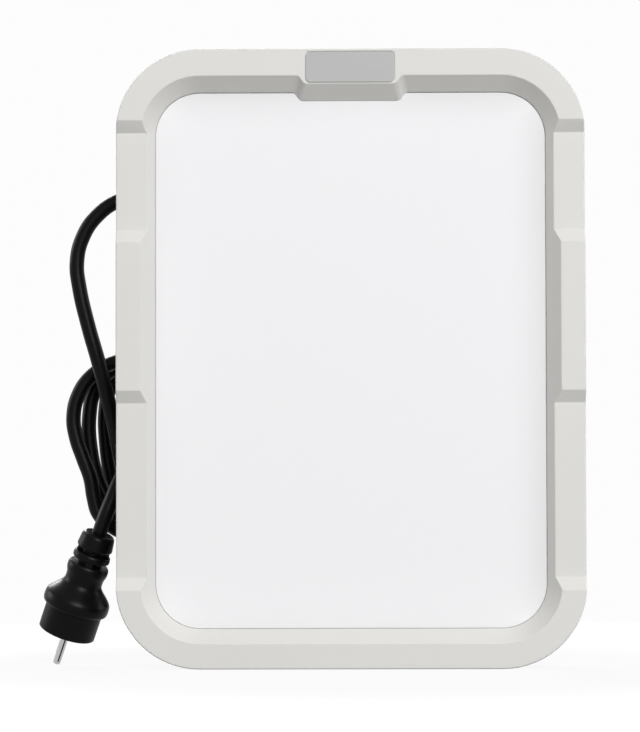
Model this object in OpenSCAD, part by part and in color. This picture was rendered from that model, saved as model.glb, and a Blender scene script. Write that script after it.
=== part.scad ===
// LED work light: a flat panel lamp with a swing stand, and its lead hung in a hank at the back.
// Millimetres. +Z is up, the lamp faces -Y, and the origin is the middle of the bezel's bottom face.

/* [Front bezel] */
// Width of the bezel
frame_w = 294; // [270:1:330]
// Height of the bezel
frame_h = 388; // [380:1:430]
// Outer corner radius of the bezel
frame_r = 48.5; // [44:0.5:60]
// Depth of the bezel from its raised face to the parting line
frame_d = 26; // [24:0.5:34]
// Wall of the bezel's skirt
frame_wall = 3; // [2.5:0.1:4]
// Width of the raised face on the sides
side_bar = 14.8; // [12:0.1:20]
// Height of the raised face at the top and the bottom
end_bar = 16.8; // [14:0.1:22]
// Corner radius of the light opening
window_r = 24.5; // [20:0.5:28]
// Depth of the sloped inner wall below the raised face
bevel_d = 10; // [8:0.5:11]
// Width of the sloped inner wall, seen from the front
bevel_w = 9.4; // [7:0.1:10]
// Depth of the four shallow fields on the sides
field_d = 4.7; // [3:0.1:6]
// Length of the ramps at the ends of a field
field_ramp = 7.8; // [5:0.1:10]
// Height of the upper fields' middle above the lamp's middle
field_rise = 111; // [106:0.5:114]
// Length of the floor of the upper fields
field_upper_len = 61; // [50:1:66]
// Depth of the lower fields' middle below the lamp's middle
field_drop = 82.5; // [78:0.5:86]
// Length of the floor of the lower fields
field_lower_len = 109; // [90:1:115]

/* [Name plate] */
// Width of the bare plate at the top
plate_w = 55.6; // [40:0.1:60]
// Height of the bare plate
plate_h = 19.2; // [14:0.1:20]
// Thickness of the bare plate
plate_t = 1; // [0.8:0.1:2]
// How far the plate stands proud of its pad
plate_proud = 0.3; // [0.1:0.1:0.6]
// How far the plate's pad reaches down over the sloped wall
pad_drop = 4.6; // [3:0.1:5]

/* [Light engine] */
// Thickness of the diffuser
diffuser_t = 3; // [2:0.1:4]
// How far the diffuser reaches behind the bezel, all round
diffuser_lap = 7; // [4:0.5:8]
// Straight land between the sloped wall and the diffuser
land_t = 1.5; // [1:0.1:2]
// Thickness of the diffuser's foam seal
diffuser_seal_t = 2; // [1.5:0.1:2.5]
// Sheet thickness of the reflector tray
tray_t = 1; // [0.8:0.1:1.5]
// Depth of the reflector tray
tray_d = 15; // [13:0.5:15]
// Thickness of the LED boards
board_t = 1.6; // [1:0.1:2]
// Width of one LED board
board_w = 92; // [80:1:100]
// Height of one LED board
board_h = 290; // [270:1:300]
// Edge length of an LED
led_w = 5; // [3:0.5:6]
// Height of an LED
led_t = 0.8; // [0.6:0.1:1.2]
// LEDs across one board
led_columns = 3; // [2:1:4]
// LEDs along one board
led_rows = 9; // [6:1:11]

/* [Rear housing] */
// Depth of the rear housing's rim
rim_d = 12; // [11:0.5:16]
// How far the rim stands in from the bezel's outline
rim_inset = 2; // [1:0.5:2.5]
// Wall of the rear housing
rear_wall = 3; // [2.5:0.1:4]
// Width of the driver box on the back
box_w = 144; // [130:1:146]
// Height of the driver box
box_h = 230; // [210:1:240]
// Depth of the driver box from the rim's back
box_d = 44; // [42:0.5:50]
// Corner radius of the driver box
box_r = 18; // [12:1:24]
// Height of a cooling fin
fin_d = 6; // [4:0.5:10]
// Thickness of a cooling fin
fin_t = 2.5; // [2:0.1:4]
// Cooling fins in a row
fin_count = 9; // [5:2:11]

/* [Driver] */
// Width of the driver module
driver_w = 96; // [80:1:100]
// Height of the driver module
driver_h = 60; // [50:1:66]
// Depth of the driver module
driver_d = 26; // [20:1:28]

/* [Switch] */
// Height of the switch's middle above the floor
switch_z = 292; // [285:1:298]
// Place of the switch across the back
switch_x = 36; // [20:1:44]
// Radius of the rocker about its pin
rocker_r = 11; // [9:0.5:12]
// Width of the rocker
rocker_w = 14; // [10:0.5:16]
// Tilt of the rocker from its middle
rocker_tilt = 10; // [6:1:12]

/* [Stand] */
// Height of the stand's pivot above the floor
pivot_z = 214; // [206:1:220]
// Distance of the pivot behind the parting line
pivot_y = 46; // [44:0.5:47]
// Radius of the pivot bolts
pivot_r = 4; // [3:0.1:5]
// Angle of the open stand from the vertical
stand_open = 25; // [20:1:32]
// Width of the stand's flat bar
bar_w = 20; // [16:1:20]
// Thickness of the stand's flat bar
bar_t = 3.5; // [3:0.1:5]
// Inner radius of the bar's bends
bar_bend = 8; // [5:0.5:12]
// Radius of a rubber foot
foot_r = 13; // [12.5:0.5:16]
// Length of a rubber foot
foot_len = 26; // [18:1:34]
// Distance of a foot from the middle
foot_x = 46; // [36:1:48]
// Radius of the tripod hole in the crossbar
tripod_r = 5.25; // [4:0.05:5.5]
// Thickness of the pivot washers
washer_t = 1.5; // [1:0.1:3]

/* [Cable entry] */
// Height of the cable gland above the floor
gland_z = 301; // [298:0.5:306]
// Outer radius of the gland's thread
gland_r = 8; // [7.5:0.1:8.5]
// Width across the flats of the gland's body
gland_flats = 22; // [19:0.5:24]
// Length of the gland's dome nut
gland_nut_len = 14.7; // [13:0.1:18]

/* [Lead] */
// Diameter of the lead
cord_d = 9.5; // [8:0.1:9.6]
// Loops in the hank
hank_loops = 3; // [2:1:3]
// Height of the hank's crown
hank_top_z = 196; // [190:1:200]
// Radius of the peg that the hank hangs on
peg_r = 6; // [4:0.5:7]

/* [Plug] */
// Radius of the plug's front
plug_r = 18.6; // [18:0.1:19]
// Radius of the plug's flange
plug_flange_r = 21.2; // [19.5:0.1:22]
// Length of the plug's body
plug_len = 68.8; // [60:0.1:72]
// Radius of a contact pin
pin_r = 2.4; // [2:0.1:2.4]
// Length of a contact pin
pin_len = 19; // [17:0.5:19]
// Distance between the two pins
pin_pitch = 19; // [18:0.1:20]

/* [Hidden] */
$fn = 64;

// Clearances: loose parts, screws in their holes, running pins, and soft parts
loose = 0.3;
screw_clear = 0.05;
running = 0.05;
// Reach of a cut past the face that it opens
over = 1;

// Levels along Y, from the raised face to the back of the driver box
face_y = -frame_d;
window_y = face_y + bevel_d;
diffuser_y = window_y + land_t;
seal_y = diffuser_y + diffuser_t;
flange_y = seal_y + diffuser_seal_t;
tray_y = flange_y + tray_d;
board_y = tray_y - tray_t - board_t;
back_y = rim_d;
box_y = rim_d + box_d;
mid_z = frame_h / 2;
window_w = frame_w - 2 * (side_bar + bevel_w);
window_h = frame_h - 2 * (end_bar + bevel_w);
diffuser_w = window_w + 2 * diffuser_lap;
diffuser_h = window_h + 2 * diffuser_lap;
diffuser_r = window_r + diffuser_lap;
skirt_w = frame_w - 2 * frame_wall;
skirt_h = frame_h - 2 * frame_wall;
skirt_r = frame_r - frame_wall;
rim_w = frame_w - 2 * rim_inset;
rim_h = frame_h - 2 * rim_inset;
rim_r = frame_r - rim_inset;
box_z = pivot_z;

// Rounded rectangle
module rounded(w, h, r) {
    square([w - 2 * r, h], center = true);
    square([w, h - 2 * r], center = true);
    for (sx = [-1, 1], sy = [-1, 1]) {
        translate([sx * (w / 2 - r), sy * (h / 2 - r)]) circle(r);
    }
}

// Rounded slab that faces along Y, from y0 to y1, about the height z
module slab(w, h, r, y0, y1, z) {
    translate([0, y1, z]) rotate([90, 0, 0]) linear_extrude(y1 - y0) rounded(w, h, r);
}

// Rounded ring of constant width, from y0 to y1
module ring_slab(w, h, r, band, y0, y1, z) {
    difference() {
        slab(w, h, r, y0, y1, z);
        slab(w - 2 * band, h - 2 * band, r - band, y0 - over, y1 + over, z);
    }
}

// Cylinder along Y
module rod_y(r, x, z, y0, y1) {
    translate([x, y1, z]) rotate([90, 0, 0]) cylinder(h = y1 - y0, r = r);
}

// Cylinder along X
module rod_x(r, x0, x1, y, z) {
    translate([x0, y, z]) rotate([0, 90, 0]) cylinder(h = x1 - x0, r = r);
}

// Hexagonal bar along X, measured across its flats
module hex_x(flats, x0, x1, y, z) {
    translate([x0, y, z]) rotate([0, 90, 0]) cylinder(h = x1 - x0, r = flats / sqrt(3), $fn = 6);
}

// Outline in (y, z), drawn out along X
module prism_x(points, x0, x1) {
    translate([x0, 0, 0]) rotate([90, 0, 90]) linear_extrude(x1 - x0) polygon(points);
}

// Block between two corners
module block(low, high) {
    translate(low) cube(high - low);
}

// Screw along Y: its head sits on head_y and its shank runs toward tip_y
module screw_y(shank_r, head_r, head_h, x, z, head_y, tip_y) {
    way = sign(tip_y - head_y);
    rod_y(shank_r, x, z, min(head_y, tip_y), max(head_y, tip_y));
    rod_y(head_r, x, z, min(head_y, head_y - way * head_h), max(head_y, head_y - way * head_h));
}

// Small screw and its hole, at a point (x, z)
module small_screw(p, head_y, tip_y)
    screw_y(small_screw_r, 2 * small_screw_r, small_head_h, p.x, p.y, head_y, tip_y);

module small_hole(p, y0, y1) rod_y(small_screw_r + screw_clear, p.x, p.y, y0, y1);

// Screw places: round the rim, on the boards, on the driver's ears and on the hook
rim_screw_r = 2;
rim_head_h = 2.4;
rim_boss_r = 4.8;
rim_screw_x = (diffuser_w + skirt_w) / 4;
rim_screw_z = (diffuser_h + skirt_h) / 4;
rim_screw_rise = 96;
rim_screw_run = 78;
rim_screws = [
    for (sx = [-1, 1], sz = [-1, 1]) each [
        [sx * rim_screw_x, mid_z + sz * rim_screw_rise],
        [sx * rim_screw_run, mid_z + sz * rim_screw_z]
    ]
];
board_gap = 12;
board_x = (board_w + board_gap) / 2;
board_inset = 7;
small_screw_r = 1.5;
small_head_h = 1.8;
small_boss_r = 4;
board_screw_points = [
    for (bx = [-1, 1], sx = [-1, 1], sz = [-1, 1])
        [bx * board_x + sx * (board_w / 2 - board_inset), mid_z + sz * (board_h / 2 - board_inset)]
];
tray_gap = 2;
tray_w = window_w + 2 * tray_gap;
tray_h = window_h + 2 * tray_gap;
tray_r = window_r + tray_gap;
ear_w = 10;
ear_t = 2;
ear_rise = 6;
driver_drop = 52;
driver_z = box_z - driver_drop;
driver_y = box_y - rear_wall - driver_d;
driver_screw_points = [for (sx = [-1, 1]) [sx * (driver_w + ear_w) / 2, driver_z]];

// The pad of the name plate widens the bezel's top bar, with the same slope as the inner wall
slope = bevel_w / bevel_d;
face_top_z = mid_z + window_h / 2 + bevel_w;
plate_z = (frame_h + face_top_z - pad_drop) / 2;
plate_r = plate_h / 8;
pad_margin = 2.2;
pad_half = plate_w / 2 + pad_margin;
pad_flare = 3.5;

// Two outlines with as many corners each, joined by flat sides from y0 to y1
module loft_y(low, high, y0, y1) {
    n = len(low);
    points = concat([for (p = low) [p.x, y0, p.y]], [for (p = high) [p.x, y1, p.y]]);
    sides = [for (i = [0 : n - 1]) [i, n + i, n + (i + 1) % n, (i + 1) % n]];
    polyhedron(points, concat([[for (i = [0 : n - 1]) i], [for (i = [n - 1 : -1 : 0]) n + i]], sides));
}

// The light opening, wider toward the front
module window_cut() {
    reach = bevel_d + over;
    grow = slope * reach;
    half_w = window_w / 2;
    half_h = window_h / 2;
    front_y = window_y - reach;
    translate([0, 0, mid_z - half_h + window_r]) linear_extrude(window_h - 2 * window_r) polygon([
        [-half_w, window_y], [half_w, window_y], [half_w + grow, front_y], [-half_w - grow, front_y]
    ]);
    prism_x([
        [window_y, mid_z - half_h], [window_y, mid_z + half_h],
        [front_y, mid_z + half_h + grow], [front_y, mid_z - half_h - grow]
    ], window_r - half_w, half_w - window_r);
    for (sx = [-1, 1], sz = [-1, 1]) {
        translate([sx * (half_w - window_r), window_y, mid_z + sz * (half_h - window_r)])
            rotate([90, 0, 0]) cylinder(h = reach, r1 = window_r, r2 = window_r + grow);
    }
    slab(window_w, window_h, window_r, window_y - over / 10, diffuser_y + over, mid_z);
}

// A pair of shallow fields across both side bars, with a ramp at each end
module field_cut(z, floor_len) {
    floor_y = face_y + field_d;
    half = floor_len / 2;
    mouth = half + field_ramp * (field_d + over) / field_d;
    prism_x([
        [floor_y, z - half], [floor_y, z + half], [face_y - over, z + mouth], [face_y - over, z - mouth]
    ], -frame_w / 2 - over, frame_w / 2 + over);
}

module name_pad() {
    top = face_top_z + over;
    edge = face_top_z - pad_drop;
    fall = slope * bevel_d;
    loft_y(
        [[-pad_half - pad_flare, top], [pad_half + pad_flare, top],
         [pad_half + pad_flare, face_top_z], [pad_half, edge], [-pad_half, edge],
         [-pad_half - pad_flare, face_top_z]],
        [[-pad_half - pad_flare, top], [pad_half + pad_flare, top],
         [pad_half + pad_flare, face_top_z - fall], [pad_half, edge - fall], [-pad_half, edge - fall],
         [-pad_half - pad_flare, face_top_z - fall]],
        face_y, window_y);
}

module front_frame() color("gainsboro") difference() {
    union() {
        difference() {
            slab(frame_w, frame_h, frame_r, face_y, 0, mid_z);
            slab(skirt_w, skirt_h, skirt_r, diffuser_y, over, mid_z);
            window_cut();
            field_cut(mid_z + field_rise, field_upper_len);
            field_cut(mid_z - field_drop, field_lower_len);
        }
        for (p = rim_screws) rod_y(rim_boss_r, p.x, p.y, diffuser_y - over, 0);
        name_pad();
    }
    for (p = rim_screws) rod_y(rim_screw_r + screw_clear, p.x, p.y, diffuser_y, over);
    slab(plate_w + loose, plate_h + loose, plate_r, face_y - over, face_y + plate_t - plate_proud, plate_z);
}

module name_plate() color("silver")
    slab(plate_w, plate_h, plate_r, face_y - plate_proud, face_y + plate_t - plate_proud, plate_z);

module diffuser() color("ghostwhite")
    slab(diffuser_w, diffuser_h, diffuser_r, diffuser_y, seal_y, mid_z);

module diffuser_seal() color("dimgray")
    ring_slab(diffuser_w, diffuser_h, diffuser_r, diffuser_lap - tray_gap, seal_y, flange_y, mid_z);

module reflector_tray() color("white") difference() {
    union() {
        slab(diffuser_w, diffuser_h, diffuser_r, flange_y, flange_y + tray_t, mid_z);
        slab(tray_w, tray_h, tray_r, flange_y, tray_y, mid_z);
    }
    slab(tray_w - 2 * tray_t, tray_h - 2 * tray_t, tray_r - tray_t, flange_y - over, tray_y - tray_t,
         mid_z);
    for (p = board_screw_points) small_hole(p, flange_y, tray_y + over);
}

module led_boards() color("whitesmoke") difference() {
    for (sx = [-1, 1]) translate([sx * board_x, board_y, mid_z])
        translate([-board_w / 2, 0, -board_h / 2]) cube([board_w, board_t, board_h]);
    for (p = board_screw_points) small_hole(p, board_y - over, board_y + board_t + over);
}

module leds() color("khaki") {
    step_x = (board_w - 2 * board_inset) / led_columns;
    step_z = (board_h - 4 * board_inset) / led_rows;
    for (sx = [-1, 1], i = [0 : led_columns - 1], j = [0 : led_rows - 1]) {
        x = sx * board_x + (i - (led_columns - 1) / 2) * step_x;
        z = mid_z + (j - (led_rows - 1) / 2) * step_z;
        translate([x - led_w / 2, board_y - led_t, z - led_w / 2]) cube([led_w, led_t, led_w]);
    }
}

module board_screws() color("silver") for (p = board_screw_points)
    small_screw(p, board_y, back_y - rear_wall);

// Places on the back: the stand's arms, the cable entry beside them, and the cord hook
pivot_gap = 0.1;
arm_in = box_w / 2 + washer_t + pivot_gap;
arm_out = arm_in + bar_t;
pivot_boss_r = 9;
pivot_boss_len = 12;
stand_len = (pivot_z - foot_r) / cos(stand_open) + bar_t / 2;
entry_gap = 5;
entry_len = 18;
entry_d = 26;
entry_h = 30;
entry_ear = 8;
entry_x = -(arm_out + entry_gap + entry_len);
entry_screw_points = [
    for (sz = [-1, 1]) [entry_x + entry_len / 2, gland_z + sz * (entry_h + entry_ear) / 2]
];
wire_r = 4;
post_lap = 1;
cover_screw_depth = 8;
cover_screw_points = [
    for (sx = [-1, 1], sz = [-1, 1]) [
        sx * (box_w / 2 - rear_wall - small_boss_r + post_lap),
        box_z + sz * (box_h / 2 - box_r - small_boss_r)
    ]
];
foot_t = 3;
gland_y = back_y + entry_d / 2;
gland_hex_len = 6;
gland_neck_len = 9;
gland_bore_r = cord_d / 2 + loose;
gland_nut_x = entry_x - gland_hex_len - pivot_gap;
gland_mouth_x = gland_nut_x - gland_nut_len;
hook_x = -134.6;
hook_base_w = 22;
hook_base_h = 36;
hook_lip_t = 3;
hook_screw_rise = 12;
hook_seat = 1.6;
hook_z = hank_top_z - cord_d / 2 - hook_seat - peg_r;
hook_screw_points = [for (sz = [-1, 1]) [hook_x, hook_z + sz * hook_screw_rise]];
fin_step = 14;
fin_edge = 16;
switch_wall = 2;
switch_w = rocker_w + 2 * switch_wall;
switch_h = 2 * (rocker_r + switch_wall);
switch_d = rocker_r + 2.5 * switch_wall;
switch_lip = 2;
socket_len = 1.5;
rocker_crown = 0.42;
rocker_dip = 0.7;

// Cooling fins above and below the driver cover
module fins() {
    for (i = [0 : fin_count - 1]) {
        x = (i - (fin_count - 1) / 2) * fin_step - fin_t / 2;
        block([x, back_y - over, fin_edge], [x + fin_t, back_y + fin_d, box_z - box_h / 2 - loose]);
        block([x, back_y - over, box_z + box_h / 2 + loose], [x + fin_t, back_y + fin_d, frame_h - fin_edge]);
    }
}

// Shallow tray that closes the bezel, with fins outside and screw posts inside
module rear_housing() color("gainsboro") difference() {
    union() {
        difference() {
            slab(rim_w, rim_h, rim_r, 0, back_y, mid_z);
            slab(rim_w - 2 * rear_wall, rim_h - 2 * rear_wall, rim_r - rear_wall, -over,
                 back_y - rear_wall, mid_z);
        }
        fins();
        for (p = rim_screws) rod_y(rim_boss_r, p.x, p.y, 0, back_y - rear_wall + over);
        for (p = board_screw_points) rod_y(small_boss_r, p.x, p.y, tray_y, back_y - rear_wall + over);
    }
    for (p = rim_screws) rod_y(rim_screw_r + screw_clear, p.x, p.y, -over, back_y + over);
    for (p = board_screw_points) small_hole(p, tray_y - over, back_y - rear_wall + over);
    for (p = concat(hook_screw_points, cover_screw_points, entry_screw_points))
        small_hole(p, back_y - rear_wall - over, back_y + over);
    for (p = [[0, box_z], [entry_x + entry_len / 2, gland_z]])
        rod_y(wire_r, p.x, p.y, back_y - rear_wall - over, back_y + over);
}

module housing_seal() color("dimgray") {
    outer = skirt_w - 2 * loose;
    band = outer / 2 - rim_screw_x - rim_boss_r - loose;
    ring_slab(outer, skirt_h - 2 * loose, skirt_r - loose, band, -diffuser_seal_t, 0, mid_z);
}

module housing_screws() color("silver") for (p = rim_screws)
    screw_y(rim_screw_r, 2 * rim_screw_r, rim_head_h, p.x, p.y, back_y, diffuser_y + over);

// Box over the driver, screwed on from inside, with bosses for the stand's bolts and the switch opening
module driver_cover() color("gainsboro") difference() {
    union() {
        difference() {
            slab(box_w, box_h, box_r, back_y, box_y, box_z);
            slab(box_w - 2 * rear_wall, box_h - 2 * rear_wall, box_r - rear_wall, back_y - over,
                 box_y - rear_wall, box_z);
        }
        for (p = cover_screw_points) rod_y(small_boss_r, p.x, p.y, back_y, box_y - rear_wall + over);
        for (p = driver_screw_points)
            rod_y(small_boss_r, p.x, p.y, box_y - rear_wall - ear_rise, box_y - rear_wall + over);
        for (x = [-box_w / 2, box_w / 2 - pivot_boss_len])
            rod_x(pivot_boss_r, x, x + pivot_boss_len, pivot_y, pivot_z);
    }
    for (p = cover_screw_points) small_hole(p, back_y - over, back_y + cover_screw_depth);
    for (p = driver_screw_points)
        small_hole(p, box_y - rear_wall - ear_rise - over, box_y - rear_wall + over);
    for (x = [-box_w / 2, box_w / 2 - pivot_boss_len])
        rod_x(pivot_r + screw_clear, x - over, x + pivot_boss_len + over, pivot_y, pivot_z);
    block([switch_x - (switch_w + loose) / 2, box_y - rear_wall - over, switch_z - (switch_h + loose) / 2],
          [switch_x + (switch_w + loose) / 2, box_y + over, switch_z + (switch_h + loose) / 2]);
}

module cover_screws() color("silver") for (p = cover_screw_points)
    small_screw(p, back_y - rear_wall, back_y + cover_screw_depth - over);

module driver_module() color("silver") difference() {
    union() {
        block([-driver_w / 2, driver_y, driver_z - driver_h / 2],
              [driver_w / 2, box_y - rear_wall, driver_z + driver_h / 2]);
        block([-driver_w / 2 - ear_w, box_y - rear_wall - ear_rise - ear_t, driver_z - ear_w],
              [driver_w / 2 + ear_w, box_y - rear_wall - ear_rise, driver_z + ear_w]);
    }
    for (p = driver_screw_points) small_hole(p, driver_y - over, box_y);
}

module driver_screws() color("silver") for (p = driver_screw_points)
    small_screw(p, box_y - rear_wall - ear_rise - ear_t, box_y - rear_wall);

// Terminal block with a wire hole and a screw well for each of three cores
terminal_w = 36;
terminal_d = 14;
terminal_h = 20;
terminal_x = -20;
terminal_rise = 50;
terminal_wire_r = 2;
terminal_well_r = 2.5;
module terminal_block() color("whitesmoke") difference() {
    z = box_z + terminal_rise;
    back = box_y - rear_wall;
    block([terminal_x - terminal_w / 2, back - terminal_d, z - terminal_h / 2],
          [terminal_x + terminal_w / 2, back, z + terminal_h / 2]);
    for (i = [-1 : 1]) {
        x = terminal_x + i * terminal_w / 3;
        translate([x, back - terminal_d / 2, z - terminal_h / 2 - over])
            cylinder(h = terminal_h + 2 * over, r = terminal_wire_r);
        rod_y(terminal_well_r, x, z, back - terminal_d - over, back - terminal_d / 2);
    }
}

module switch_body() color("dimgray") difference() {
    lip_x = switch_w / 2 + switch_lip;
    lip_z = switch_h / 2 + switch_lip;
    well = rocker_w / 2 + loose;
    socket = rocker_w / 2 + socket_len;
    union() {
        block([switch_x - switch_w / 2, box_y - switch_d, switch_z - switch_h / 2],
              [switch_x + switch_w / 2, box_y + switch_lip, switch_z + switch_h / 2]);
        block([switch_x - lip_x, box_y, switch_z - lip_z],
              [switch_x + lip_x, box_y + switch_lip, switch_z + lip_z]);
    }
    rod_x(rocker_r + loose, switch_x - well, switch_x + well, box_y, switch_z);
    rod_x(small_screw_r + running, switch_x - socket, switch_x + socket, box_y, switch_z);
}

// Rocker with a shallow valley across its face, tilted to the off side
module switch_rocker() color("black") translate([switch_x, box_y, switch_z]) rotate([rocker_tilt, 0, 0]) {
    crown = rocker_crown * rocker_r;
    dip = rocker_dip * crown;
    intersection() {
        rod_x(rocker_r, -rocker_w / 2, rocker_w / 2, 0, 0);
        prism_x([
            [-rocker_r, -rocker_r], [crown, -rocker_r], [dip, 0], [crown, rocker_r], [-rocker_r, rocker_r]
        ], -rocker_w, rocker_w);
    }
    rod_x(small_screw_r, -rocker_w / 2 - socket_len + loose, rocker_w / 2 + socket_len - loose, 0, 0);
}

// Small box for the lead's gland, with an ear at each end
module cable_entry() color("gainsboro") difference() {
    low = [entry_x, back_y, gland_z - entry_h / 2];
    high = [entry_x + entry_len, back_y + entry_d, gland_z + entry_h / 2];
    union() {
        block(low, high);
        block([low.x, back_y, low.z - entry_ear], [high.x, back_y + foot_t, high.z + entry_ear]);
    }
    block(low + rear_wall * [1, -1, 1], high - rear_wall * [1, 1, 1]);
    for (p = entry_screw_points) small_hole(p, back_y - over, back_y + foot_t + over);
    rod_x(gland_r + screw_clear, entry_x - over, entry_x + rear_wall + over, gland_y, gland_z);
}

module entry_screws() color("silver") for (p = entry_screw_points)
    small_screw(p, back_y + foot_t, back_y - rear_wall);

// Gland: a threaded stem through the entry's wall, a hexagon outside it and a neck for the dome nut
gland_thread_d = 0.6;
gland_neck_r = gland_r - gland_thread_d;
gland_stem_len = 5;
gland_mouth_t = 2.5;
gland_flute_w = 2;
gland_flute_d = 0.7;
gland_skirt = 0.45;
gland_lip = 1.2;
locknut_t = 4;
module gland_body() color("dimgray") difference() {
    union() {
        rod_x(gland_r, entry_x - over, entry_x + rear_wall + gland_stem_len, gland_y, gland_z);
        hex_x(gland_flats, entry_x - gland_hex_len, entry_x, gland_y, gland_z);
        rod_x(gland_neck_r, entry_x - gland_hex_len - gland_neck_len, entry_x, gland_y, gland_z);
    }
    rod_x(gland_bore_r, gland_mouth_x, entry_x + entry_len, gland_y, gland_z);
}

// Dome nut: a revolved outline with the neck's thread inside and a round mouth for the lead
module gland_nut() color("dimgray") difference() {
    crown = gland_bore_r + gland_lip;
    translate([gland_nut_x, gland_y, gland_z]) rotate([0, -90, 0]) rotate_extrude() polygon(concat(
        [[0, 0], [gland_flats / 2, 0], [gland_flats / 2, gland_skirt * gland_nut_len]],
        [for (a = [15 : 15 : 90]) [mix(crown, gland_flats / 2, cos(a)),
            gland_nut_len * mix(gland_skirt, 1, sin(a))]],
        [[0, gland_nut_len]]
    ));
    rod_x(gland_neck_r + screw_clear, gland_mouth_x + gland_mouth_t, gland_nut_x + over, gland_y, gland_z);
    rod_x(gland_bore_r, gland_mouth_x - over, gland_nut_x, gland_y, gland_z);
    for (a = [0 : 60 : 300]) translate([gland_nut_x, gland_y, gland_z]) rotate([a, 0, 0])
        block([-gland_skirt * gland_nut_len, gland_flats / 2 - gland_flute_d, -gland_flute_w / 2],
              [over, gland_flats, gland_flute_w / 2]);
}

module gland_seal() color("black") difference() {
    rod_x(gland_neck_r - screw_clear, gland_mouth_x + gland_mouth_t,
          entry_x - gland_hex_len - gland_neck_len, gland_y, gland_z);
    rod_x(cord_d / 2 + screw_clear, gland_mouth_x, entry_x, gland_y, gland_z);
}

module gland_locknut() color("dimgray") difference() {
    hex_x(gland_flats - locknut_t, entry_x + rear_wall, entry_x + rear_wall + locknut_t, gland_y, gland_z);
    rod_x(gland_r + screw_clear, entry_x, entry_x + entry_len, gland_y, gland_z);
}

// The lead's end inside the gland, up to its mouth
module supply_lead() color("black")
    rod_x(cord_d / 2, gland_mouth_x, entry_x + entry_len - rear_wall - switch_wall, gland_y, gland_z);

// Everything on the stand is drawn at its pivot, hanging straight down, and then swung open
module stand_pose() translate([0, pivot_y, pivot_z]) rotate([stand_open, 0, 0]) children();

// Outline with a flat top at zero and round lower corners
module bucket(half, depth, r) {
    translate([-half, -depth + r]) square([2 * half, depth - r]);
    translate([-half + r, -depth]) square([2 * (half - r), depth]);
    for (sx = [-1, 1]) translate([sx * (half - r), -depth + r]) circle(r);
}

// Half the length of the straight crossbar between the bends
crossbar_half = arm_in - bar_bend;

// Two flat arms, each with a pivot eye and a bend toward the crossbar
module stand_arms() color("silver") stand_pose() difference() {
    union() {
        translate([0, bar_w / 2, 0]) rotate([90, 0, 0]) linear_extrude(bar_w) difference() {
            bucket(arm_out, stand_len, bar_bend + bar_t);
            translate([0, over]) bucket(arm_in, stand_len - bar_t + over, bar_bend);
            translate([-crossbar_half, -stand_len - over]) square([2 * crossbar_half, stand_len]);
        }
        for (x = [arm_in, -arm_out]) rod_x(bar_w / 2, x, x + bar_t, 0, 0);
    }
    for (x = [arm_in, -arm_out]) rod_x(pivot_r + running, x - over, x + bar_t + over, 0, 0);
}

// Crossbar between the arms, with the tripod hole in its middle
module stand_bracket() color("silver") stand_pose() difference() {
    block([-crossbar_half, -bar_w / 2, -stand_len], [crossbar_half, bar_w / 2, -stand_len + bar_t]);
    translate([0, 0, -stand_len - over]) cylinder(h = bar_t + 2 * over, r = tripod_r);
}

// Rubber sleeves on the crossbar
module stand_feet() color("black") stand_pose() for (sx = [-1, 1]) difference() {
    rod_x(foot_r, sx * foot_x - foot_len / 2, sx * foot_x + foot_len / 2, 0, -stand_len + bar_t / 2);
    block([sx * foot_x - foot_len, -bar_w / 2 - screw_clear, -stand_len - screw_clear],
          [sx * foot_x + foot_len, bar_w / 2 + screw_clear, -stand_len + bar_t + screw_clear]);
}

bolt_flats = 3.25 * pivot_r;
bolt_head_h = 1.4 * pivot_r;
module pivot_bolts() color("silver") for (side = [0, 1]) mirror([side, 0, 0]) {
    rod_x(pivot_r, box_w / 2 - pivot_boss_len + over, arm_out + pivot_gap, pivot_y, pivot_z);
    hex_x(bolt_flats, arm_out + pivot_gap, arm_out + pivot_gap + bolt_head_h, pivot_y, pivot_z);
}

module pivot_washers() color("dimgray") for (x = [box_w / 2, -box_w / 2 - washer_t]) difference() {
    rod_x(pivot_boss_r, x, x + washer_t, pivot_y, pivot_z);
    rod_x(pivot_r + running, x - over, x + washer_t + over, pivot_y, pivot_z);
}

// The hank: loops that widen toward the front, each a bottom fold, a right run, a crown and a left run
strand_gap = 1;
hank_pitch = cord_d + strand_gap;
hank_front_y = 40;
hank_turns = hank_loops + 1 / 3;
hank_rear_y = hank_front_y + hank_pitch * hank_turns;
hank_low_z = 68;
hank_rings = 24;
hank_sides = 6;

// Places of the rearmost loop, and how far each place has moved at the front loop
rear_left_x = -152;
left_spread = 28;
rear_right_x = -98.6;
right_spread = 7;
rear_fold_r = 28.5;
fold_spread = 8.6;
front_low_x = -166;
rear_draw_in = 25;
draw_in_power = 3;
left_run_haste = 1.4;
function mix(a, b, u) = a + (b - a) * u;
function ease(u) = u * u * (3 - 2 * u);
function hank_left_top(t) = rear_left_x - left_spread * t / hank_loops;
function hank_right_top(t) = rear_right_x - right_spread * t / hank_loops;
function hank_left_low(t) = front_low_x + rear_draw_in * pow(max(0, 1 - t / hank_loops), draw_in_power);
function hank_fold_r(t) = rear_fold_r + fold_spread * t / hank_loops;
function hank_crown_r(t) = (hank_right_top(t) - hank_left_top(t)) / 2;
function hank_crown_z(t) = hank_top_z - hank_crown_r(t);
function hank_fold(t, a) = let (r = hank_fold_r(t))
    [hank_left_low(t) + r + r * cos(a), hank_low_z + r * sin(a)];
function hank_crown(t, a) = let (r = hank_crown_r(t))
    [hank_left_top(t) + r + r * cos(a), hank_crown_z(t) + r * sin(a)];
function hank_right_run(t, u) = [
    mix(hank_left_low(t) + 2 * hank_fold_r(t), hank_right_top(t), ease(u)),
    mix(hank_low_z, hank_crown_z(t), u)
];
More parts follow.
